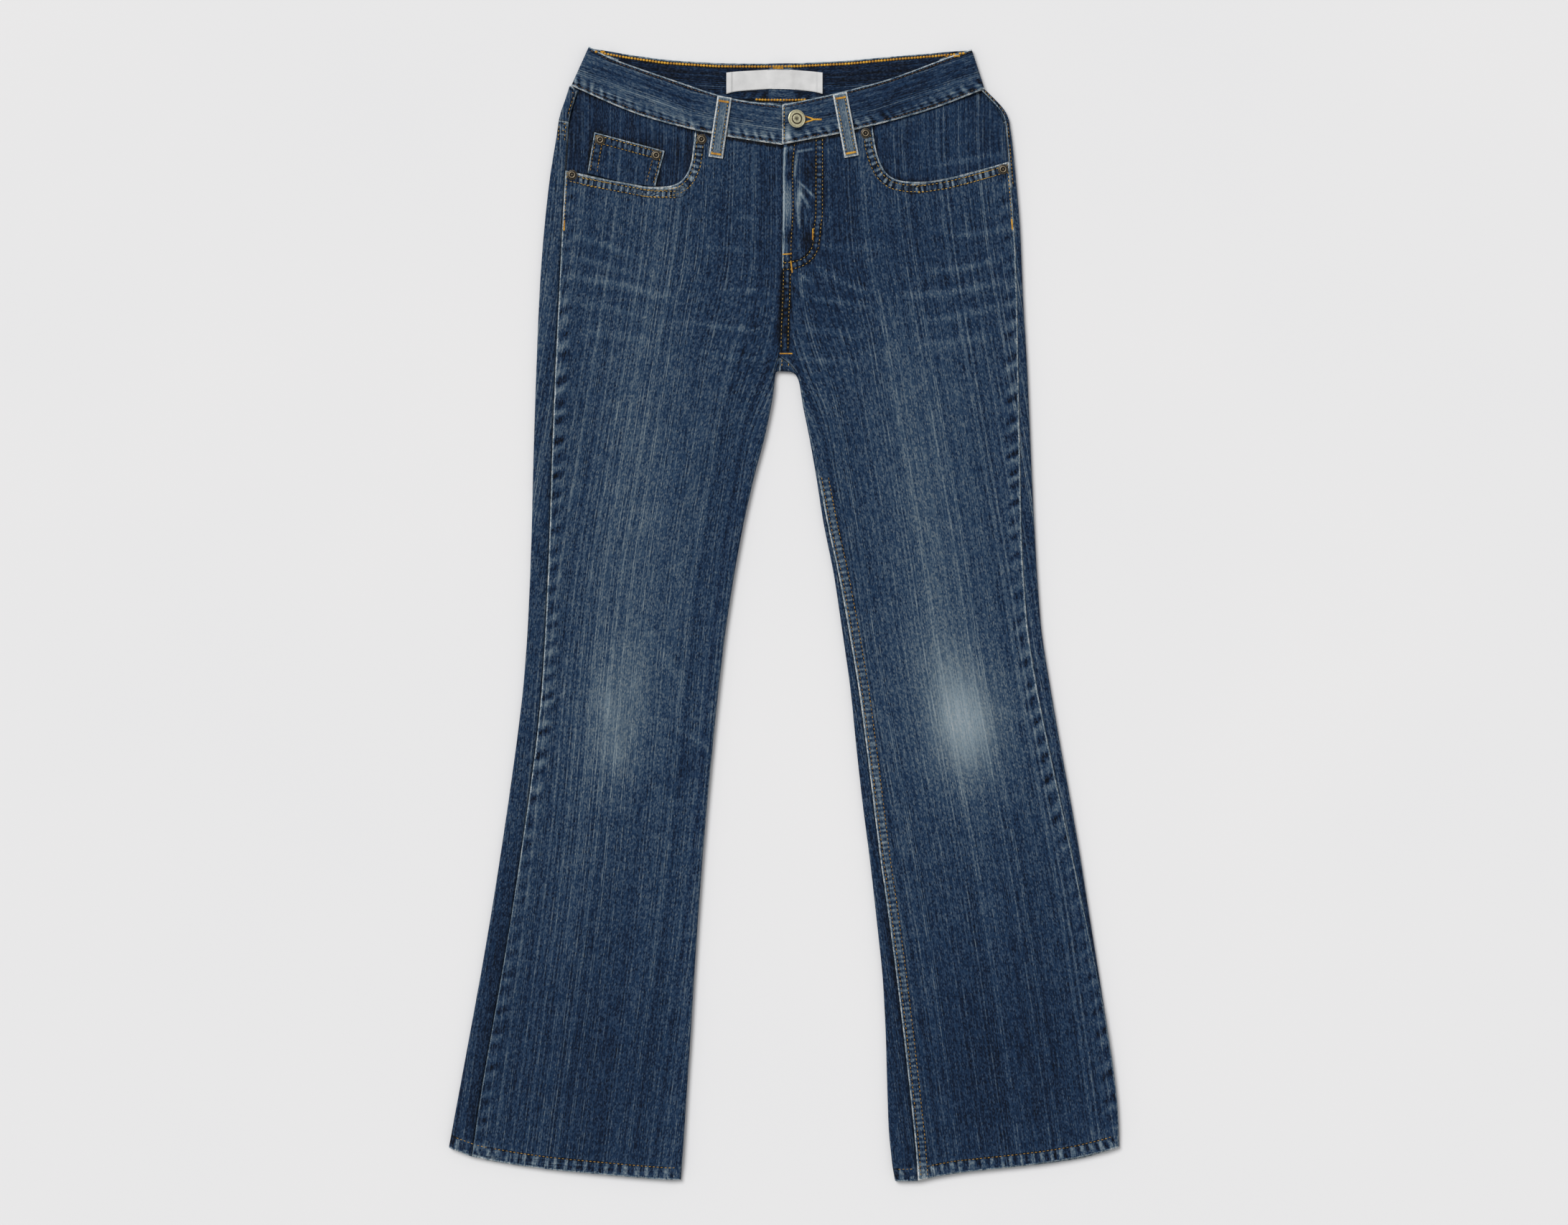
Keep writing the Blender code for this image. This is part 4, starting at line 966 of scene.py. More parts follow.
@dataclass
class Cloth:
    """A piece of cloth refined from its solid."""

    node: str
    shade: Shade
    cut: tuple[float, float]        # width and length it was cut to, millimetres
    area: float                     # share of that rectangle
    levels: int = 3                 # of subdivision
    long_cell: float = 30.0         # sides longer than this are halved first
    fine_area: tuple[Point, Point] | None = None    # corners of a place with finer cells
    rests_on: tuple[str, ...] = ()
    slot: str = "denim"
    base: float = 0.24              # lightness before fades
    obj: bpy.types.Object | None = field(default=None, init=False)
    stretches: list[Stretch] = field(default_factory=list, init=False)
    shortest: ClassVar[float] = 4.0         # a shorter stretch of edge is left out
    faces_up: ClassVar[bool] = True         # its outer side is first met from above
    pale_inside: ClassVar[bool] = True      # its inner side is pale where it shows

    def solid(self) -> bmesh.types.BMesh:
        """The node's solid as one welded mesh of quads.

        Returns:
            The mesh, to be freed by the caller.
        """
        bm = bmesh.new()
        bm.from_mesh(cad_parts[self.node].data)
        bmesh.ops.remove_doubles(bm, verts=bm.verts[:], dist=2e-6)
        bmesh.ops.join_triangles(bm, faces=bm.faces[:], angle_face_threshold=math.radians(25.0),
                                 angle_shape_threshold=math.radians(60.0))
        bm.normal_update()
        return bm

    def on_top(self) -> bool:
        """Whether the outer side is first met from above."""
        return self.faces_up

    def outer_faces(self, bm: bmesh.types.BMesh) -> set[bmesh.types.BMFace]:
        """The faces of the outer side, found by spreading from one of them.

        Args:
            bm: the solid.

        Returns:
            Those faces.
        """
        sign = 1.0 if self.on_top() else -1.0
        start = max(bm.faces, key=lambda face: (round(sign * face.calc_center_median().z, 5),
                                                face.calc_area()))
        found, queue = {start}, [start]
        while queue:
            face = queue.pop()
            for edge in face.edges:
                if len(edge.link_faces) == 2 and edge.calc_face_angle(0.0) < SHARP:
                    for other in edge.link_faces:
                        if other not in found:
                            found.add(other)
                            queue.append(other)
        return found

    def rim(self) -> Array:
        """The edge of the outer side as a ring of points, in millimetres.

        Returns:
            The points, in order.
        """
        bm = self.solid()
        outer = self.outer_faces(bm)
        after: dict[bmesh.types.BMVert, bmesh.types.BMVert] = {}
        for face in outer:
            for loop in face.loops:
                if any(other not in outer for other in loop.edge.link_faces):
                    after[loop.vert] = loop.link_loop_next.vert
        ring = [min(after, key=lambda v: (v.co.y, v.co.x, v.co.z))]
        while len(ring) <= len(after) and after[ring[-1]] is not ring[0]:
            ring.append(after[ring[-1]])
        points = np.array([v.co for v in ring]) / MM
        bm.free()
        return points

    def find_edges(self, neighbours: dict[str, BVHTree]) -> None:
        """Cut the outer side's edge at corners, at folds and where its neighbour changes.

        Args:
            neighbours: the solids that it may be sewn to, by name.
        """
        points = self.rim()
        count = len(points)
        kinds = [(self.neighbour(point, neighbours), bool(point[2] > LAYER_SPLIT))
                 for point in points]
        for i in range(count):
            if kinds[i - 1] == kinds[(i + 1) % count] != kinds[i]:
                kinds[i] = kinds[i - 1]
        before = points - np.roll(points, 1, axis=0)
        after = np.roll(points, -1, axis=0) - points
        lengths = np.linalg.norm(before, axis=1) * np.linalg.norm(after, axis=1)
        turns = np.einsum("ij,ij->i", before, after) / np.maximum(lengths, 1e-9)
        cuts = [i for i in range(count)
                if kinds[i] != kinds[i - 1] or turns[i] < math.cos(CORNER)] or [0]
        for start, end in zip(cuts, cuts[1:] + [cuts[0] + count]):
            run = [i % count for i in range(start, end + 1)]
            beside, upper = kinds[run[len(run) // 2]]
            stretch = Stretch(beside, points[run], upper)
            if stretch.length > self.shortest:
                self.stretches.append(stretch)

    def neighbour(self, point: Array, neighbours: dict[str, BVHTree]) -> str:
        """The piece sewn on at an edge point, or "open".

        Args:
            point: a point of the edge, in millimetres.
            neighbours: the solids that it may be sewn to, by name.

        Returns:
            The piece's name.
        """
        best, name = SEWN_GAP * MM, "open"
        for other, tree in neighbours.items():
            if other == self.node:
                continue
            found = tree.find_nearest(Vector(point) * MM, best)
            if found[0] is not None and found[3] < best:
                best, name = found[3], other
        return name

    def refine(self) -> tuple[bpy.types.Object, Array, Array, Array]:
        """Subdivide the solid to a fine shell.

        Returns:
            The object, its points in millimetres, their normals, and how much
            each belongs to the outer side.
        """
        bm = self.solid()
        skin = bm.verts.layers.float.new("skin")
        for face in self.outer_faces(bm):
            for vert in face.verts:
                vert[skin] = 1.0
        long = [e for e in bm.edges if e.calc_length() > self.long_cell * MM]
        bmesh.ops.subdivide_edges(bm, edges=long, cuts=1, use_grid_fill=True)
        bm.normal_update()
        crease = bm.edges.layers.float.new("crease_edge")
        for edge in bm.edges:
            if len(edge.link_faces) == 2 and edge.calc_face_angle(0.0) > SHARP:
                edge[crease] = 1.0
        coarse = as_mesh(bm, f"{self.node}_coarse")
        rough = put(coarse.name, coarse)
        fine = rough.modifiers.new("fine", "SUBSURF")
        fine.levels = self.levels
        fine.render_levels = self.levels
        evaluated = rough.evaluated_get(bpy.context.evaluated_depsgraph_get())
        mesh = bpy.data.meshes.new_from_object(evaluated)
        mesh.name = f"{self.node}_cloth"
        bpy.data.objects.remove(rough)
        bpy.data.meshes.remove(coarse)
        if self.fine_area:
            self.make_finer(mesh)
        obj = put(f"{self.node}_cloth", mesh)
        count = len(mesh.vertices)
        points, normals, sides = np.empty(count * 3), np.empty(count * 3), np.empty(count)
        mesh.vertices.foreach_get("co", points)
        mesh.vertices.foreach_get("normal", normals)
        mesh.attributes["skin"].data.foreach_get("value", sides)
        return obj, points.reshape(-1, 3) / MM, normals.reshape(-1, 3), sides

    def make_finer(self, mesh: bpy.types.Mesh) -> None:
        """Halve the cells of the outer side in the fine area.

        Args:
            mesh: the mesh, which is changed.
        """
        (left, bottom), (right, top) = self.fine_area
        bm = bmesh.new()
        bm.from_mesh(mesh)
        inner = {v for v in bm.verts
                 if left < v.co.x / MM < right and bottom < v.co.y / MM < top
                 and v.normal.z > 0.5 and v.co.z / MM > LAYER_SPLIT}
        edges = [e for e in bm.edges if e.verts[0] in inner and e.verts[1] in inner]
        bmesh.ops.subdivide_edges(bm, edges=edges, cuts=1, use_grid_fill=True)
        bm.to_mesh(mesh)
        bm.free()

    def edge_numbers(self, points: Array) -> dict[str, Array]:
        """What the nearest edge does to each point.

        Args:
            points: the shell's points, in millimetres.

        Returns:
            By name: the map along the seam, the edge's wear, its rows and marks,
            and the ripple of its puckers with the strips along edges added in, among them the
            painted shadow under the waistband.
        """
        upper = points[:, 2] > LAYER_SPLIT
        count = len(points)
        distance = np.full(count, EDGE_REACH)
        seam = np.column_stack([np.zeros(count), distance])
        no_rows = (NO_ROW, NO_ROW, 0.0)
        wear, ripple, rows = np.zeros(count), np.zeros(count), np.tile(no_rows, (count, 1))
        for i, stretch in enumerate(self.stretches):
            edging = self.edging(stretch)
            index = np.nonzero(upper == stretch.upper)[0]
            worn = 1.0 - (1.0 - edging.low) * ease(-points[:, 1], *LOW_LEG)
            shown = 1.0 - ease(points[:, 1], edging.top - ROLLED, edging.top)
            line = smooth_run(stretch.points[:, :2], 5.0)
            gap, way = nearest_on_line(points[index, :2], line)
            if edging.ripple:
                fade = (1.0 - ease(gap, edging.reach * 0.5, edging.reach)) * ease(gap, -0.5, 2.5)
                fade *= 1.0 - (1.0 - edging.low) * ease(points[index, 1], *HIP)
                waves = uneven_waves(way + 0.5 * gap, edging.wave, 1.0 + i)
                ripple[index] += edging.ripple * worn[index] * waves * fade
            # the strip along the edge joins the ripple: pale wear on some edges, painted shadow
            # under the waistband
            if edging.lift:
                ripple[index] += (edging.lift * shown[index]
                                  * (1.0 - ease(gap, edging.reach - 2.0, edging.reach)))
            closer = gap < distance[index]
            index, gap, way = index[closer], gap[closer], way[closer]
            distance[index] = gap
            seam[index] = np.column_stack([way / edging.spacing, gap])
            wear[index] = edging.wear * worn[index] * (0.45 + 0.55 * shown[index])
            found = edging.rows or (NO_ROW,)
            rows[index] = (found[0], found[-1], edging.marks)
            rows[index[shown[index] < 0.5]] = no_rows
        return {"seam": seam, "wear": wear, "ripple": ripple, "rows": rows, "distance": distance}

    def edging(self, stretch: Stretch) -> Edging:
        """How a stretch of edge is finished."""
        return Edging(wear=0.5)

    def fade(self, points: Array, normals: Array) -> Array:
        """Lightness at each point: the wash, and in some pieces painted shade and highlight."""
        return np.full(len(points), self.base)

    def relief(self, points: Array) -> Array:
        """Height added at each point, in millimetres."""
        return np.zeros(len(points))

    def drawn(self, points: Array) -> Array:
        """The points where sewing has drawn them in plan."""
        return points.copy()

    def grain(self, points: Array) -> Array:
        """The map along the threads, in centimetres."""
        return leg_grain(points[:, :2])

    def inside(self, sides: Array) -> Array:
        """Where the pale inner side of the cloth shows."""
        return (1.0 - ease(sides, 0.0, 0.5)) * self.pale_inside

    def build(self, dye: Dye) -> None:
        """Make the piece, dress it and put it in the frame's place.

        Args:
            dye: where its material comes from.
        """
        obj, points, normals, sides = self.refine()
        edge = self.edge_numbers(points)
        inside = self.inside(sides) * ease(edge["distance"], *PALE_FROM)
        above = ease(points[:, 2], LAYER_SPLIT, LAYER_SPLIT + 1.2)
        moved = self.drawn(points)
        moved[:, 2] += self.relief(points) + PUCKER * np.clip(edge["ripple"], -0.2, 0.2) * above
        depth, width = EDGE_ROUNDING
        rounding = depth * np.clip(1.0 - edge["distance"] / width, 0.0, 1.0) ** 2
        moved[:, 2] -= np.where(normals[:, 2] > 0.25, rounding * above, 0.0)
        mesh = obj.data
        mesh.vertices.foreach_set("co", (moved * MM).ravel())
        # fade holds the wash, with painted shade and highlight on some pieces; ripple holds
        # puckers and edge strips, with painted shadow under the waistband
        numbers = {"fade": self.fade(points, normals), "wear": edge["wear"] * (1.0 - inside),
                   "ripple": edge["ripple"], "inside": inside}
        for name, values in numbers.items():
            mesh.attributes.new(name, "FLOAT", "POINT").data.foreach_set("value", values)
        vectors = mesh.attributes.new("rows", "FLOAT_VECTOR", "POINT").data
        vectors.foreach_set("vector", edge["rows"].ravel())
        corners = np.empty(len(mesh.loops), dtype=np.int64)
        mesh.loops.foreach_get("vertex_index", corners)
        for name, places in (("grain", self.grain(points)), ("seam", edge["seam"])):
            mesh.uv_layers.new(name=name).data.foreach_set("uv", places[corners].ravel())
        mesh.attributes.remove(mesh.attributes["skin"])
        mesh.materials.clear()
        mesh.materials.append(self.material(dye))
        mesh.shade_smooth()
        mesh.set_sharp_from_angle(angle=SMOOTHED)
        mesh.update()
        self.obj = obj
        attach(obj, "root")
        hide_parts(self.node)
        width, length = (size * MM for size in self.cut)
        LOG.info("%s: %d faces", obj.name, len(mesh.polygons))

    def material(self, dye: Dye) -> bpy.types.Material:
        """The piece's finish."""
        return dye.denim(self.shade)


def is_hem(stretch: Stretch) -> bool:
    """Whether a stretch of a leg's edge is its hem."""
    return stretch.beside == "open" and stretch.middle[1] < 0.0


LEG_HEM = Edging(wear=1.0, rows=(11.3,), thread=Thread.BROWN, marks=0.30, spacing=9.4, ripple=0.13,
                 wave=9.4, reach=14.0, lift=0.05)
STRIP_EDGE = Edging(wear=0.8, rows=(1.8,), thread=Thread.BROWN)
BAND_EDGE = Edging(wear=1.1, rows=(2.4,), thread=Thread.UMBER, marks=0.05, spacing=6.0)
SIDE_TOP = 345.0            # y where the side seam's top stitching ends


@dataclass
class FrontPanel(Cloth):
    """The front of one leg, from the waistband to the hem."""

    def edging(self, stretch: Stretch) -> Edging:
        """Rubbed side seams, pocket edges and hem, and painted shadow under the waistband.

        Args:
            stretch: a stretch of the piece's edge.

        Returns:
            How it is sewn and worn.
        """
        if stretch.beside == "waistband":
            # painted shadow: a dark strip on the front along the waistband's lower edge
            return Edging(lift=-0.24, reach=3.4)
        if stretch.beside.startswith("front"):
            return Edging()
        if is_hem(stretch):
            return LEG_HEM
        if stretch.beside == "open":
            return Edging(wear=1.1, rows=(2.9, 8.9), marks=0.40, spacing=5.5)
        if stretch.beside.startswith("back") and abs(stretch.middle[0]) > OUTSEAM:
            return Edging(wear=1.05, ripple=0.185, wave=18.0, reach=15.0, low=0.6)
        if stretch.beside.startswith("back"):
            if self.node.endswith("left"):
                return Edging(wear=1.0, rows=(2.9, 9.2), thread=Thread.BROWN, marks=0.22,
                              spacing=5.4, lift=0.09, reach=11.0, top=140.0)
            return Edging(wear=0.25, ripple=0.04, wave=11.0, reach=9.0)
        return Edging(wear=1.0)

    def fade(self, points: Array, normals: Array) -> Array:
        """The legs' fades, whiskers and creases, whose dark strokes are painted shade."""
        plan = points[:, :2]
        total = self.base + patches_at(FRONT_FADES, plan) + tones_at(WHISKERS + CREASES, plan)
        return total + self.fly(plan) if self.node == "front_left" else total

    def fly(self, plan: Array) -> Array:
        """Lightness added on the fly: mottled, with dark stitch lines, a white edge and painted
        shadow beside that edge.

        Args:
            plan: plan points of the left front.

        Returns:
            The lightness at each of them.
        """
        total = patches_at(FLY_FADES, plan) + tones_at(FLY_STROKES, plan)
        for line in FLY_LINES:
            gap, _ = nearest_on_line(plan, smooth_run(np.array(line), 4.0))
            total -= 0.24 * np.exp(-(gap / 1.2) ** 2)
        for line in FLY_STRIPS:
            gap, way = nearest_on_line(plan, smooth_run(np.array(line), 4.0))
            total += (0.04 + 0.20 * uneven_waves(way, 5.4, 3.0)) * np.exp(-(gap / 2.4) ** 4)
        edge = np.array(FLY_EDGE)
        side = plan[:, 0] - np.interp(plan[:, 1], edge[::-1, 1], edge[::-1, 0])
        beside = ease(plan[:, 1], 318.0, 324.0)
        total += beside * 0.62 * np.exp(-(side / 1.05) ** 2)
        # painted shadow on the cloth beside the fly's edge
        return total - beside * 0.10 * ease(-side, 0.9, 1.6)

    def relief(self, points: Array) -> Array:
        """The creases and whiskers, and a slow unevenness."""
        x, y = points[:, 0], points[:, 1]
        slow = np.sin(x / 31.0 + y / 57.0) * np.sin(y / 43.0 - x / 71.0 + 1.1)
        return heights_at(WHISKERS + CREASES, points[:, :2]) + 0.22 * slow


@dataclass
class BackPanel(Cloth):
    """The back of one leg, wrapped round its folds."""

    faces_up: ClassVar[bool] = False

    def edging(self, stretch: Stretch) -> Edging:
        """A little wear at the seams, and a rubbed hem.

        Args:
            stretch: a stretch of the piece's edge.

        Returns:
            How it is sewn and worn.
        """
        if is_hem(stretch):
            return LEG_HEM
        if stretch.beside.startswith("yoke"):
            return Edging(wear=0.7, rows=(2.4, 8.6), marks=0.18, spacing=5.0)
        if stretch.beside == "back_right":
            return Edging(wear=0.6, rows=(2.4, 8.6), marks=0.14, spacing=5.5)
        if stretch.upper and stretch.middle[1] > STRIP_LOW:
            return STRIP_EDGE
        return Edging(wear=0.12, ripple=0.03, wave=12.5, reach=10.0, lift=-0.02)

    def fade(self, points: Array, normals: Array) -> Array:
        """The strips that show are evenly washed; the seat and thighs are paler; the round of each
        fold has a painted highlight.

        Args:
            points: points of the piece, in millimetres.
            normals: their normals.

        Returns:
            The lightness at each point.
        """
        plan = points[:, :2]
        under = 1.0 - ease(points[:, 2], 2.0, LAYER_SPLIT)
        total = self.base - 0.075 * (1.0 - ease(points[:, 1], -330.0, -150.0))
        total += under * (patches_at(UNDER_FADES, plan) + tones_at(UNDER_CREASES, plan))
        # painted highlight on the round of the fold, where its faces slope
        fold = np.exp(-((points[:, 2] - 3.0) / 1.6) ** 2) * (np.abs(normals[:, 2]) < 0.8)
        return total + 0.05 * fold

    def relief(self, points: Array) -> Array:
        """Slight hollows along the creases of the underside."""
        under = 1.0 - ease(points[:, 2], 1.8, 2.6)
        return under * sum(line.height * np.clip(line.mask(points[:, :2]), 0.0, 1.0)
                           for line in UNDER_CREASES)


@dataclass
class Yoke(BackPanel):
    """The shaped piece between the back waistband and the back panel."""

    tuck: Fade = Fade(-200, 490, 9, 9, 0, 3.8)      # its right corner is drawn up into the band
    pale_inside: ClassVar[bool] = False

    def edging(self, stretch: Stretch) -> Edging:
        """Sewn under its neighbours, but over the pocket facing."""
        if stretch.upper and stretch.beside == "open":
            return STRIP_EDGE
        return Edging(wear=0.15)

    def drawn(self, points: Array) -> Array:
        """The corner at the fold reaches the waistband."""
        moved = points.copy()
        moved[:, 1] += self.tuck.at(points[:, :2])
        return moved


@dataclass
class Waistband(Cloth):
    """The ring round the waist, open at the centre front."""

    seam_front: Array | None = None    # plan points of the lower edge, front and back
    seam_back: Array | None = None
    turn: float = 31.0                      # centimetres between the two along the grain
    pale_inside: ClassVar[bool] = False

    def edging(self, stretch: Stretch) -> Edging:
        """Its edges are rubbed and stitched.

        Args:
            stretch: a stretch of the piece's edge.

        Returns:
            How it is sewn and worn.
        """
        x, y, _ = stretch.middle
        if stretch.beside == "open" and stretch.length < 60.0:
            overlap = stretch.points[-1][1] < stretch.points[0][1]
            return Edging(wear=1.1, rows=(1.9,)) if overlap else Edging()
        low = stretch.upper and abs(y - np.interp(x, *self.seam_front.T)) < 12.0
        if stretch.beside == "open" and not low:
            return BAND_EDGE
        return replace(BAND_EDGE, wear=1.3, ripple=0.24, wave=9.5, reach=12.5)

    def outside(self, points: Array, normals: Array) -> Array:
        """Where the band's outer face is."""
        return np.where(points[:, 2] > LAYER_SPLIT, 1.0, 1.0 - ease(normals[:, 2], -0.1, 0.4))

    def fade(self, points: Array, normals: Array) -> Array:
        """Worn in bars on the outside, dark inside the back."""
        outside = self.outside(points, normals)
        worn = self.base + patches_at(BAND_FADES, points[:, :2])
        return outside * worn + 0.11 * (1.0 - outside)

    def grain(self, points: Array) -> Array:
        """The threads run along the band.

        Args:
            points: points of the piece, in millimetres.

        Returns:
            The map at each point.
        """
        upper = points[:, 2] > LAYER_SPLIT
        front = np.interp(points[:, 0], self.seam_front[:, 0], self.seam_front[:, 1])
        back = np.interp(points[:, 0], self.seam_back[:, 0], self.seam_back[:, 1])
        across = points[:, 1] - np.where(upper, front, back)
        along = points[:, 0] * 0.1 + np.where(upper, 0.0, self.turn)
        return np.column_stack([across * 0.1, along])


@dataclass
class Facing(Cloth):
    """The cloth that shows in a scooped pocket opening."""

    shadow_edges: list[Array] = field(default_factory=list)    # edges that lie over it, beside which shadow is painted
    pale_inside: ClassVar[bool] = False

    def edging(self, stretch: Stretch) -> Edging:
        """Not rubbed."""
        return Edging()

    def fade(self, points: Array, normals: Array) -> Array:
        """Painted shadow darkens it beside the edges that lie over it.

        Args:
            points: points of the piece, in millimetres.
            normals: not used.

        Returns:
            The lightness at each point.
        """
        total = self.base + patches_at(FACING_FADES, points[:, :2])
        for line in self.shadow_edges:
            gap, _ = nearest_on_line(points[:, :2], smooth_run(line[:, :2], 4.0))
            # painted shadow on the facing beside each edge that lies over it
            total -= 0.13 * np.exp(-(gap / 2.8) ** 2)
        return total


@dataclass
class CoinPocket(Facing):
    """The small pocket sewn on the right facing."""

    hidden: float = 420.0       # y below which its lower edge is behind the front

    def edging(self, stretch: Stretch) -> Edging:
        """Rubbed and double stitched, most of all along its top.

        Args:
            stretch: a stretch of the piece's edge.

        Returns:
            How it is sewn and worn.
        """
        across, along, _ = np.abs(stretch.points[-1] - stretch.points[0])
        if across <= along:
            return Edging(wear=1.1, rows=(2.2, 8.7), thread=Thread.BROWN, marks=0.12, spacing=6.5)
        if stretch.middle[1] < self.hidden:
            return Edging()
        return Edging(wear=1.1, rows=(2.2, 8.7), marks=0.24, spacing=5.6)


@dataclass
class BackPocket(Cloth):
    """A plain patch pocket on the underside."""

    faces_up: ClassVar[bool] = False

    def edging(self, stretch: Stretch) -> Edging:
        """Double stitched round its sides, with a deeper hem at its top."""
        if abs(stretch.points[-1][0] - stretch.points[0][0]) > 0.8 * self.cut[0]:
            return Edging(wear=0.9, rows=(2.2, 12.5), marks=0.2, spacing=6.0)
        return Edging(wear=0.8, rows=(2.2, 8.4), marks=0.12, spacing=6.0)


@dataclass
class BeltLoop(Cloth):
    """A belt loop, with its threads along it."""

    top: Point = (0.0, 0.0)
    foot: Point = (0.0, 0.0)
    tack: float = 9.2           # width of its bartacks
    pale_inside: ClassVar[bool] = False

    def axes(self) -> tuple[Array, Array]:
        """Its directions in plan: down along it, and across."""
        along = np.array(self.foot) - np.array(self.top)
        along = along / np.linalg.norm(along)
        return along, np.array([-along[1], along[0]])

    def on_top(self) -> bool:
        """Front loops face up, back ones down."""
        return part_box(self.node)[1].z > LAYER_SPLIT * MM

    def edging(self, stretch: Stretch) -> Edging:
        """White-worn edges, stitched along their length."""
        if stretch.length > 30.0:
            return Edging(wear=1.2, rows=(2.8,), marks=0.24, spacing=3.6)
        return Edging(wear=1.0)

    def grain(self, points: Array) -> Array:
        """Along the loop."""
        along, across = self.axes()
        plan = points[:, :2] - np.array(self.top)
        return np.column_stack([plan @ across, plan @ along]) * 0.1


@dataclass
class Label(Cloth):
    """The woven label inside the back of the waistband, left bare."""

    fold: float = 5.2       # length turned under at each end

    def edging(self, stretch: Stretch) -> Edging:
        """Not rubbed."""
        return Edging()

    def ends(self, points: Array) -> Array:
        """Distance from the nearer end."""
        x = points[:, 0]
        return np.minimum(x - x.min(), x.max() - x)

    def fade(self, points: Array, normals: Array) -> Array:
        """Painted shade along the step of each fold."""
        return 1.0 - 0.75 * np.exp(-((self.ends(points) - self.fold) / 0.8) ** 2)

    def relief(self, points: Array) -> Array:
        """Thicker where its ends are turned under."""
        return 0.45 * (1.0 - ease(self.ends(points), self.fold - 0.8, self.fold + 0.4))

    def material(self, dye: Dye) -> bpy.types.Material:
        """White tape."""
        return dye.label()

    def grain(self, points: Array) -> Array:
        """Straight along it."""
        return points[:, :2] * 0.1


# ---- Sewing ----

@dataclass(frozen=True)
class Seam:
    """How one line of stitches is sewn, in millimetres."""

    thread: Thread
    stitch: float = 2.3         # length of a stitch
    pitch: float = 3.5          # from one to the next
    radius: float = 0.34


CHAIN = Seam(Thread.GOLD, 2.7, 2.8, 1.25)


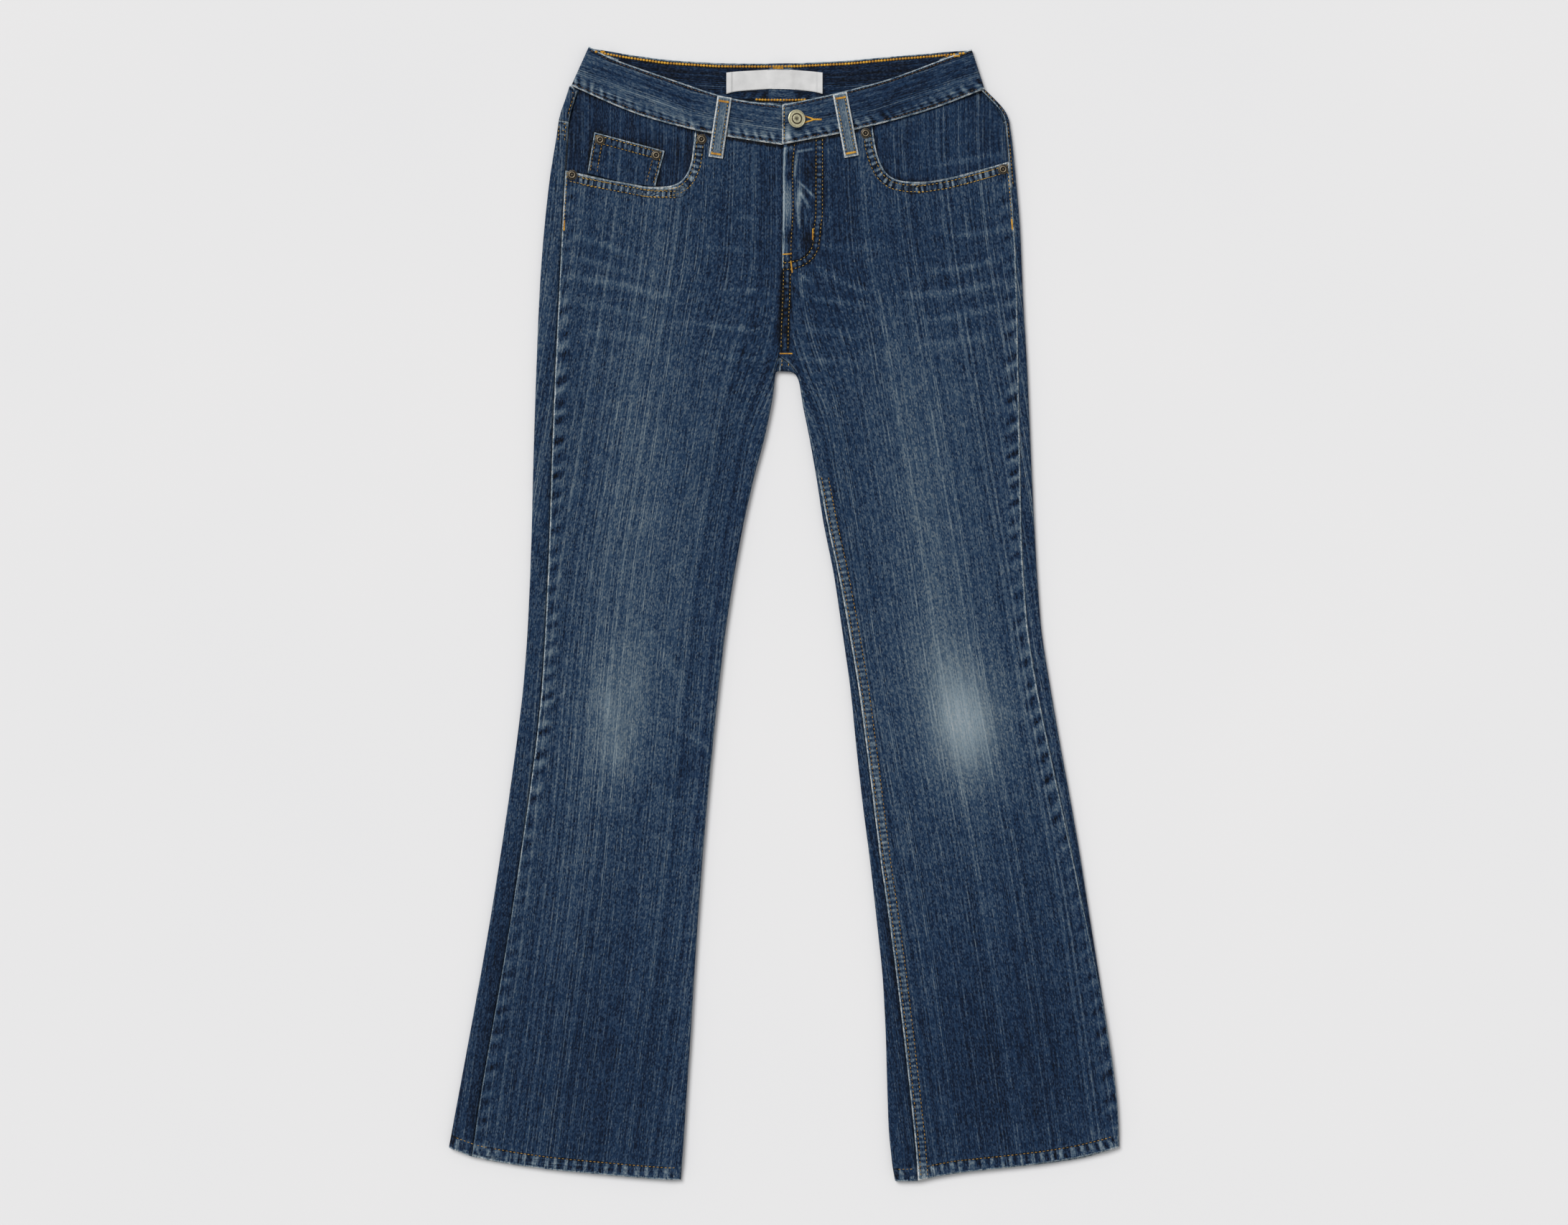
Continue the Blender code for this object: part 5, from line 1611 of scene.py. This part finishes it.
@dataclass
class Sewing:
    """Stitches laid on the finished cloth: one small shape, repeated along each line."""

    name: str
    step: float = 1.2           # greatest difference in height of a stitch's ends
    shortest: float = 0.3       # stitch
    shortest_edge: float = 9.0
    places: dict[Thread, list[Matrix]] = field(default_factory=dict, init=False)

    @staticmethod
    def seat(tree: BVHTree, plan: Array, under: bool) -> Vector | None:
        """The cloth's outermost point at a plan point, from above or from below."""
        origin = Vector((plan[0], plan[1], -20.0 if under else 40.0)) * MM
        return tree.ray_cast(origin, Vector((0, 0, 1.0 if under else -1.0)))[0]

    def stitch(self, tree: BVHTree, a: Array, b: Array, seam: Seam, under: bool) -> None:
        """One stitch, sunk in the cloth at its ends, unless it would bridge a step.

        Args:
            tree: the cloth.
            a, b: plan points of its ends.
            seam: how it is sewn.
            under: whether it is on the underside.
        """
        start, end = self.seat(tree, a, under), self.seat(tree, b, under)
        if start is None or end is None or abs(start.z - end.z) > self.step * MM:
            return
        along = end - start
        if along.length < self.shortest * MM:
            return
        x_axis = along.normalized()
        up = Vector((0, 0, -1.0 if under else 1.0))
        z_axis = (up - x_axis * up.dot(x_axis)).normalized()
        y_axis = z_axis.cross(x_axis)
        lift, height = (0.15, 0.3) if under else (0.30, 0.85)
        radius = seam.radius * MM
        middle = (start + end) / 2 + z_axis * radius * lift
        turn = Matrix((x_axis, y_axis, z_axis)).transposed().to_4x4()
        size = Matrix.Diagonal((along.length / 2, radius, radius * height, 1.0))
        self.places.setdefault(seam.thread, []).append(Matrix.Translation(middle) @ turn @ size)

    def run(self, tree: BVHTree, line: Array, seam: Seam, under: bool = False) -> None:
        """A line of stitches.

        Args:
            tree: the cloth.
            line: plan points, in order.
            seam: how it is sewn.
            under: whether it is on the underside.
        """
        if len(line) < 2:
            return
        way = np.concatenate([[0.0], np.cumsum(np.linalg.norm(np.diff(line, axis=0), axis=1))])
        place = 0.4
        while place + seam.stitch < way[-1]:
            a, b = (np.array([np.interp(at, way, column) for column in line.T])
                    for at in (place, place + seam.stitch))
            self.stitch(tree, a, b, seam, under)
            place += seam.pitch * (1.0 + 0.06 * math.sin(place * 1.7))

    def bartack(self, tree: BVHTree, a: Point | Array, b: Point | Array, width: float,
                thread: Thread = Thread.GOLD, under: bool = False) -> None:
        """Close stitches across a short line.

        Args:
            tree: the cloth.
            a, b: plan points of the line's ends.
            width: length of the stitches.
            thread: their thread.
            under: whether it is on the underside.
        """
        start, end = np.array(a), np.array(b)
        length = float(np.linalg.norm(end - start))
        along = (end - start) / length
        across = np.array([-along[1], along[0]])
        steps = max(int(length / 0.5), 2)
        for i in range(steps + 1):
            centre = start + along * length * i / steps
            half = across * width / 2 + along * (0.3 if i % 2 else -0.3)
            self.stitch(tree, centre - half, centre + half, Seam(thread, radius=0.36), under)

    def edge(self, piece: Cloth, tree: BVHTree) -> None:
        """The rows that a piece's edges call for.

        Args:
            piece: the piece.
            tree: its finished cloth.
        """
        for stretch in piece.stretches:
            edging = piece.edging(stretch)
            if stretch.length < self.shortest_edge:
                continue
            for row in edging.rows:
                line = inset(stretch.points, row * stretch.inward)
                line = line[line[:, 1] < edging.top - UNSEWN]
                self.run(tree, line, Seam(edging.thread), not stretch.upper)

    def finish(self, dye: Dye) -> None:
        """Make one object for each thread and put it in the frame.

        Args:
            dye: where its material comes from.
        """
        bm = bmesh.new()
        bmesh.ops.create_uvsphere(bm, u_segments=6, v_segments=4, radius=1.0,
                                  matrix=Matrix.Rotation(math.pi / 2, 4, "Y"))
        shape = np.array([(*v.co, 1.0) for v in bm.verts])
        faces = [[v.index for v in face.verts] for face in bm.faces]
        bm.free()
        for thread, places in self.places.items():
            name = f"{self.name}_{thread.value}_thread"
            stack = np.array([np.array(place) for place in places])
            points = np.einsum("kij,nj->kni", stack, shape)[:, :, :3].reshape(-1, 3)
            repeated = [[corner + k * len(shape) for corner in face]
                        for k in range(len(places)) for face in faces]
            mesh = bpy.data.meshes.new(name)
            mesh.from_pydata(points.tolist(), [], repeated)
            mesh.shade_smooth()
            mesh.materials.append(dye.thread(thread))
            obj = put(name, mesh)
            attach(obj, "root")
            LOG.info("%s: %d stitches", name, len(places))


# ---- Metal ----

@dataclass
class Turned:
    """A turned fastening in place of its solid."""

    node: str
    slot: str
    finish: MetalFinish
    profile: tuple[tuple[float, float, float], ...]     # radius, height, how rubbed
    seat: tuple[float, float, float]
    tilt: float = 0.0
    steps: int = 64
    studs: tuple[int, float, float, float] = (0, 0.0, 0.0, 0.0)     # count, ring, height, radius

    def build(self, dye: Dye) -> None:
        """Spin the profile, add its studs and place it.

        Args:
            dye: where its material comes from.
        """
        bm = bmesh.new()
        verts = [bm.verts.new((r * MM, 0.0, z * MM)) for r, z, _ in self.profile]
        edges = [bm.edges.new(pair) for pair in zip(verts, verts[1:])]
        bmesh.ops.spin(bm, geom=verts + edges, cent=(0, 0, 0), axis=(0, 0, 1),
                       angle=2 * math.pi, steps=self.steps, use_merge=True)
        bmesh.ops.remove_doubles(bm, verts=bm.verts[:], dist=1e-6)
        count, ring, height, radius = self.studs
        for i in range(count):
            angle = 2 * math.pi * i / count
            spot = Vector((ring * math.cos(angle), ring * math.sin(angle), height)) * MM
            bmesh.ops.create_uvsphere(bm, u_segments=8, v_segments=5, radius=radius * MM,
                                      matrix=Matrix.Translation(spot))
        bmesh.ops.recalc_face_normals(bm, faces=bm.faces[:])
        local = np.array([v.co for v in bm.verts]) / MM
        bm.transform(Matrix.Translation(Vector(self.seat))
                     @ Matrix.Rotation(math.radians(self.tilt), 4, "Y"))
        mesh = as_mesh(bm, f"{self.node}_metal")
        numbers = mesh.attributes.new("rubbed", "FLOAT", "POINT").data
        numbers.foreach_set("value", self.rubbed(local))
        mesh.materials.append(dye.metal(self.slot, self.finish))
        mesh.shade_smooth()
        mesh.set_sharp_from_angle(angle=SMOOTHED_METAL)
        obj = put(mesh.name, mesh)
        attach(obj, "root")
        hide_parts(self.node)
        LOG.info("%s: %d faces", obj.name, len(mesh.polygons))

    def rubbed(self, local: Array) -> Array:
        """How bright each point is rubbed, from the nearest profile point.

        Args:
            local: points before the piece is placed, in millimetres.

        Returns:
            A number from 0 to 1 for each.
        """
        radius = np.hypot(local[:, 0], local[:, 1])
        table = np.array(self.profile)
        gap = (radius[:, None] - table[None, :, 0]) ** 2 + (local[:, 2:3] - table[None, :, 1]) ** 2
        return table[np.argmin(gap, axis=1), 2]


RIVET_PROFILE = (
    (0.0, 0.0, 0.0), (4.5, 0.0, 0.0), (4.68, 0.15, 0.1), (4.7, 0.4, 0.40), (4.5, 0.62, 0.46),
    (4.1, 0.75, 0.44), (3.7, 0.85, 0.34), (3.3, 0.95, 0.0), (3.1, 1.2, 0.30), (2.8, 1.42, 1.0),
    (2.3, 1.42, 1.0), (2.05, 1.2, 0.30), (1.9, 0.9, 0.0), (1.1, 0.85, 0.0), (0.9, 1.1, 0.0),
    (0.8, 1.6, 0.2), (0.6, 1.85, 0.6), (0.0, 1.9, 0.7),
)
BUTTON_PROFILE = (
    (0.0, 0.0, 0.2), (3.2, 0.0, 0.2), (3.2, 2.3, 0.2), (7.4, 2.45, 0.1), (8.2, 2.75, 0.1),
    (8.5, 3.3, 0.15), (8.45, 3.9, 0.3), (8.1, 4.35, 0.95), (7.75, 4.5, 0.9), (7.5, 4.4, 0.35),
    (7.25, 4.3, 0.6), (5.6, 4.35, 0.75), (5.4, 4.4, 0.8), (5.25, 4.45, 0.7), (5.05, 4.4, 0.0),
    (4.75, 4.15, 0.0), (4.35, 4.15, 0.0), (4.05, 4.4, 0.1), (3.8, 4.55, 0.8), (3.2, 4.6, 0.75),
    (2.8, 4.55, 0.68), (2.4, 4.5, 0.6), (2.0, 4.42, 0.52), (1.4, 4.3, 0.42), (0.7, 4.2, 0.34),
    (0.0, 4.2, 0.3),
)
BUTTON_TILT = 18.0
BUTTON_AT = (10.7, 460.3)
BUTTON_STUDS = (22, 6.4, 4.3, 0.32)
SHANK_RADIUS = 3.2


# ---- The garment ----

PANELS = ("front_left", "front_right", "back_left", "back_right", "yoke_left", "yoke_right")
SEWN_NODES = (*PANELS, "waistband")
POCKETS = ("back_pocket_left", "back_pocket_right", "coin_pocket")

# Upper and lower end of each belt loop
LOOPS = {
    "front_left": ((51.9, 484.6), (63.0, 425.8)),
    "front_right": ((-55.3, 481.4), (-63.7, 424.8)),
    "side_left": ((153.0, 523.0), (167.0, 476.0)),
    "side_right": ((-161.0, 523.0), (-181.0, 478.0)),
    "back": ((-2.7, 512.2), (-2.7, 465.5)),
}
LOOP_TACKS = (4.6, 3.4)             # of a loop's bartacks from its upper and lower end
FOLD_HEIGHTS = (491.0, 488.5)       # y of the waistband's lower edge at its right and left fold
CHAIN_HEIGHT = 478.8                # y of the lower chain stitch inside the back, at its middle
CHAIN_SPAN = (-28.5, 24.0)          # x of its ends
# Bartacks inside the waistband, over the hidden belt loops
BAND_TACKS = (((-10.0, 508.7), (-1.0, 508.7)), ((-173.0, 524.0), (-167.5, 524.0)),
              ((151.0, 519.5), (163.5, 519.5)))
# The buttonhole beside the button: x of its two lips' ends and half gaps there, x of its tack
LIPS = ((16.5, 3.8), (26.5, 0.7))
LIP_TACK = (26.0, 34.8)


@dataclass
class Jeans:
    """All the cloth, sewing and metal of the jeans."""

    dye: Dye
    cloth: dict[str, Cloth] = field(default_factory=dict, init=False)
    trees: dict[str, BVHTree] = field(default_factory=dict, init=False)

    def neighbours(self) -> dict[str, BVHTree]:
        """The solids of the panels that are sewn to each other."""
        graph = bpy.context.evaluated_depsgraph_get()
        return {name: BVHTree.FromObject(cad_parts[name], graph) for name in SEWN_NODES}

    def cut_cloth(self) -> None:
        """List the pieces of cloth with the sizes they were cut to."""
        backs = ("back_left", "back_right")
        for side in ("left", "right"):
            self.add(FrontPanel(f"front_{side}", Shade.BODY, (300, 990), 0.66, rests_on=backs,
                                fine_area=FLY_AREA if side == "left" else None))
            self.add(BackPanel(f"back_{side}", Shade.BODY, (350, 990), 0.74, levels=2,
                               rests_on=("floor",)))
            self.add(Yoke(f"yoke_{side}", Shade.BODY, (240, 86), 0.62, levels=2,
                          rests_on=("floor",), base=0.22))
            self.add(Facing(f"pocket_facing_{side}", Shade.FACING, (134, 98), 0.62,
                            rests_on=backs, slot="denim_facing",
                            base=0.19 if side == "left" else 0.135))
            self.add(BackPocket(f"back_pocket_{side}", Shade.BODY, (126, 130), 0.9,
                                rests_on=("floor",), base=0.32))
        self.add(CoinPocket("coin_pocket", Shade.BODY, (74, 52), 0.66,
                            rests_on=("pocket_facing_right",), base=0.19))
        self.add(Waistband("waistband", Shade.BAND, (790, 40), 0.95, long_cell=16.0,
                           rests_on=("floor",), base=0.27))
        self.add(Label("label", Shade.BAND, (90, 21), 0.95, rests_on=("waistband",),
                       slot="label_cloth", long_cell=6.0))
        for name, (top, foot) in LOOPS.items():
            length = math.dist(top, foot)
            self.add(BeltLoop(f"belt_loop_{name}", Shade.LOOP, (14, length + 2), 0.95,
                              rests_on=("waistband",), base=0.47, top=top, foot=foot))

    def add(self, piece: Cloth) -> None:
        """Keep a piece by its node's name."""
        self.cloth[piece.node] = piece

    def sew_panels(self) -> None:
        """Find the seams, then build every piece of cloth."""
        solids = self.neighbours()
        for piece in self.cloth.values():
            piece.find_edges(solids if piece.node in SEWN_NODES else {})
        band = self.cloth["waistband"]
        folds = np.array([[corner.x / MM, height]
                          for corner, height in zip(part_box("waistband"), FOLD_HEIGHTS)])
        band.seam_front = self.band_seam("front", folds)
        band.seam_back = self.band_seam("yoke", np.empty((0, 2)))
        for side in ("right", "left"):
            mouths = [s for s in self.cloth[f"front_{side}"].stretches
                      if s.beside == "open" and s.middle[1] > POCKET_LOW]
            # edges beside which shadow is painted on the facing: the pocket's mouth, the
            # waistband's seam and the coin pocket's rim
            shadow_edges = self.cloth[f"pocket_facing_{side}"].shadow_edges
            shadow_edges += [max(mouths, key=lambda s: s.length).points, band.seam_front]
            if side == "right":
                shadow_edges.append(self.cloth["coin_pocket"].rim())
        for piece in self.cloth.values():
            piece.build(self.dye)

    def band_seam(self, kind: str, more: Array) -> Array:
        """The seam of the waistband with both pieces of a kind.

        Args:
            kind: "front" or "yoke".
            more: plan points to add to it.

        Returns:
            Its plan points, from right to left of the wearer.
        """
        found = [s.points[:, :2] for side in ("right", "left")
                 for s in self.cloth[f"{kind}_{side}"].stretches if s.beside == "waistband"]
        seam = np.vstack([*found, more])
        return seam[np.argsort(seam[:, 0])]

    def tree(self, node: str) -> BVHTree:
        """The finished cloth of a node, to lay stitches on."""
        if node not in self.trees:
            graph = bpy.context.evaluated_depsgraph_get()
            self.trees[node] = BVHTree.FromObject(self.cloth[node].obj, graph)
        return self.trees[node]

    def fasten(self) -> None:
        """The button and the rivets."""
        low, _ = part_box("button")
        seat_z = low.z + SHANK_RADIUS * math.sin(math.radians(BUTTON_TILT)) * MM
        Turned("button", "antique_brass", BRASS, BUTTON_PROFILE,
               (BUTTON_AT[0] * MM, BUTTON_AT[1] * MM, seat_z), BUTTON_TILT,
               studs=BUTTON_STUDS).build(self.dye)
        for name in sorted(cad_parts):
            if name.startswith("rivet_"):
                low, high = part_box(name)
                seat = ((low.x + high.x) / 2, (low.y + high.y) / 2, low.z)
                Turned(name, "antique_copper", COPPER, RIVET_PROFILE, seat,
                       steps=40).build(self.dye)

    def sew(self) -> None:
        """All the stitching: the rows of every edge, then what is sewn inside the panels."""
        for side in ("left", "right"):
            self.sew_side(side)
        self.sew_band()
        self.sew_loops()
        self.sew_fly()
        for name in (*PANELS, *POCKETS):
            sewing = Sewing(name)
            sewing.edge(self.cloth[name], self.tree(name))
            sewing.finish(self.dye)

    def sew_side(self, side: str) -> None:
        """The top stitching at the head of a side seam, and the tack at its foot.

        Args:
            side: "left" or "right".
        """
        sewing = Sewing(f"side_{side}")
        node = f"front_{side}"
        seam = max((s for s in self.cloth[node].stretches if s.beside == f"back_{side}"),
                   key=lambda s: abs(s.middle[0]) + 0.1 * s.length)
        head = seam.points[seam.points[:, 1] > SIDE_TOP]
        line = inset(head, 1.7 * seam.inward, 1.0)
        sewing.run(self.tree(node), line, Seam(Thread.AMBER))
        foot = line[np.argsort(line[:, 1])]
        sewing.bartack(self.tree(node), foot[2], foot[11], 1.9)
        sewing.finish(self.dye)

    def sew_band(self) -> None:
        """The waistband's edges, its buttonhole, and the chain stitch inside it."""
        sewing = Sewing("waistband")
        band, tree = self.cloth["waistband"], self.tree("waistband")
        sewing.edge(band, tree)
        top = max((s for s in band.stretches if s.beside == "open" and not s.upper),
                  key=lambda s: s.length)
        sewing.run(tree, inset(top.points, 2.9 * top.inward, 6.0), CHAIN)
        low = band.seam_back.copy()
        low[:, 1] += CHAIN_HEIGHT - np.interp(0.0, low[:, 0], low[:, 1])
        line = smooth_run(low, 2.0)
        left, right = CHAIN_SPAN
        sewing.run(tree, line[(line[:, 0] > left) & (line[:, 0] < right)], CHAIN)
        for a, b in BAND_TACKS:
            sewing.bartack(tree, a, b, 1.9)
        y = BUTTON_AT[1]
        for side in (-1.0, 1.0):
            sewing.bartack(tree, *((x, y + gap * side) for x, gap in LIPS), 1.7)
        sewing.bartack(tree, *((x, y) for x in LIP_TACK), 2.2)
        sewing.finish(self.dye)

    def sew_loops(self) -> None:
        """Edge stitches and bartacks of the belt loops."""
        sewing = Sewing("belt_loops")
        for name, piece in self.cloth.items():
            if not isinstance(piece, BeltLoop):
                continue
            tree, under = self.tree(name), not piece.on_top()
            sewing.edge(piece, tree)
            along, across = piece.axes()
            half = across * piece.tack / 2
            for end in (piece.top + along * LOOP_TACKS[0], piece.foot - along * LOOP_TACKS[1]):
                sewing.bartack(tree, end - half, end + half, 2.5, under=under)
        sewing.finish(self.dye)

    def sew_fly(self) -> None:
        """The J, the edge stitch, the tacks and the centre seam."""
        sewing = Sewing("fly")
        tree = self.tree("front_left")
        for line in FLY_LINES:
            sewing.run(tree, smooth_run(np.array(line), 1.0), Seam(Thread.AMBER, 1.9, radius=0.26))
        for a, b in FLY_TACKS:
            sewing.bartack(tree, a, b, 1.5)
        sewing.finish(self.dye)


# ---- Studio ----

@dataclass
class Studio:
    """Pale floor, soft light and a camera straight above."""

    height: float = 3.455       # metres
    aim: Point = (0.0, 0.0013)
    lens: float = 85.0          # millimetres
    sensor: float = 36.0
    floor_drop: float = 0.0004
    floor_size: float = 6.0
    sky: float = 0.46           # strength of the white all round
    key: float = 2.2            # and of the one lamp
    softness: float = 32.0      # the lamp's width, in degrees
    lamp_at: tuple[float, float, float] = (-1.0, 1.1, 1.9)

    def build(self, dye: Dye) -> None:
        """Make the floor, lights, world and camera.

        Args:
            dye: where the floor's material comes from.
        """
        bm = bmesh.new()
        bmesh.ops.create_grid(bm, x_segments=1, y_segments=1, size=self.floor_size)
        bmesh.ops.translate(bm, verts=bm.verts[:], vec=(0, 0, -self.floor_drop))
        mesh = as_mesh(bm, "floor")
        mesh.materials.append(dye.floor())
        floor = put("floor", mesh)
        self.sun()
        world = bpy.data.worlds.new("studio")
        world.use_nodes = True
        background = world.node_tree.nodes["Background"]
        background.inputs["Color"].default_value = (1.0, 1.0, 1.0, 1.0)
        background.inputs["Strength"].default_value = self.sky
        scene = bpy.context.scene
        scene.world = world
        scene.view_settings.view_transform = "Standard"
        data = bpy.data.cameras.new("camera")
        data.lens = self.lens
        data.sensor_width = self.sensor
        camera = put("camera", data)
        camera.location = (*self.aim, self.height)
        scene.camera = camera

    def sun(self) -> None:
        """One broad light from the upper left, even over the whole floor."""
        data = bpy.data.lights.new("key", "SUN")
        data.energy = self.key
        data.angle = math.radians(self.softness)
        lamp = put("key", data)
        lamp.location = self.lamp_at
        lamp.rotation_euler = (-lamp.location).to_track_quat("-Z", "Y").to_euler()


def main() -> None:
    """Build the jeans and the studio."""
    logging.basicConfig(level=logging.INFO)
    dye = Dye()
    Studio().build(dye)
    jeans = Jeans(dye)
    jeans.cut_cloth()
    jeans.sew_panels()
    jeans.fasten()
    jeans.sew()
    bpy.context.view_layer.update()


if __name__ == "__main__":
    main()
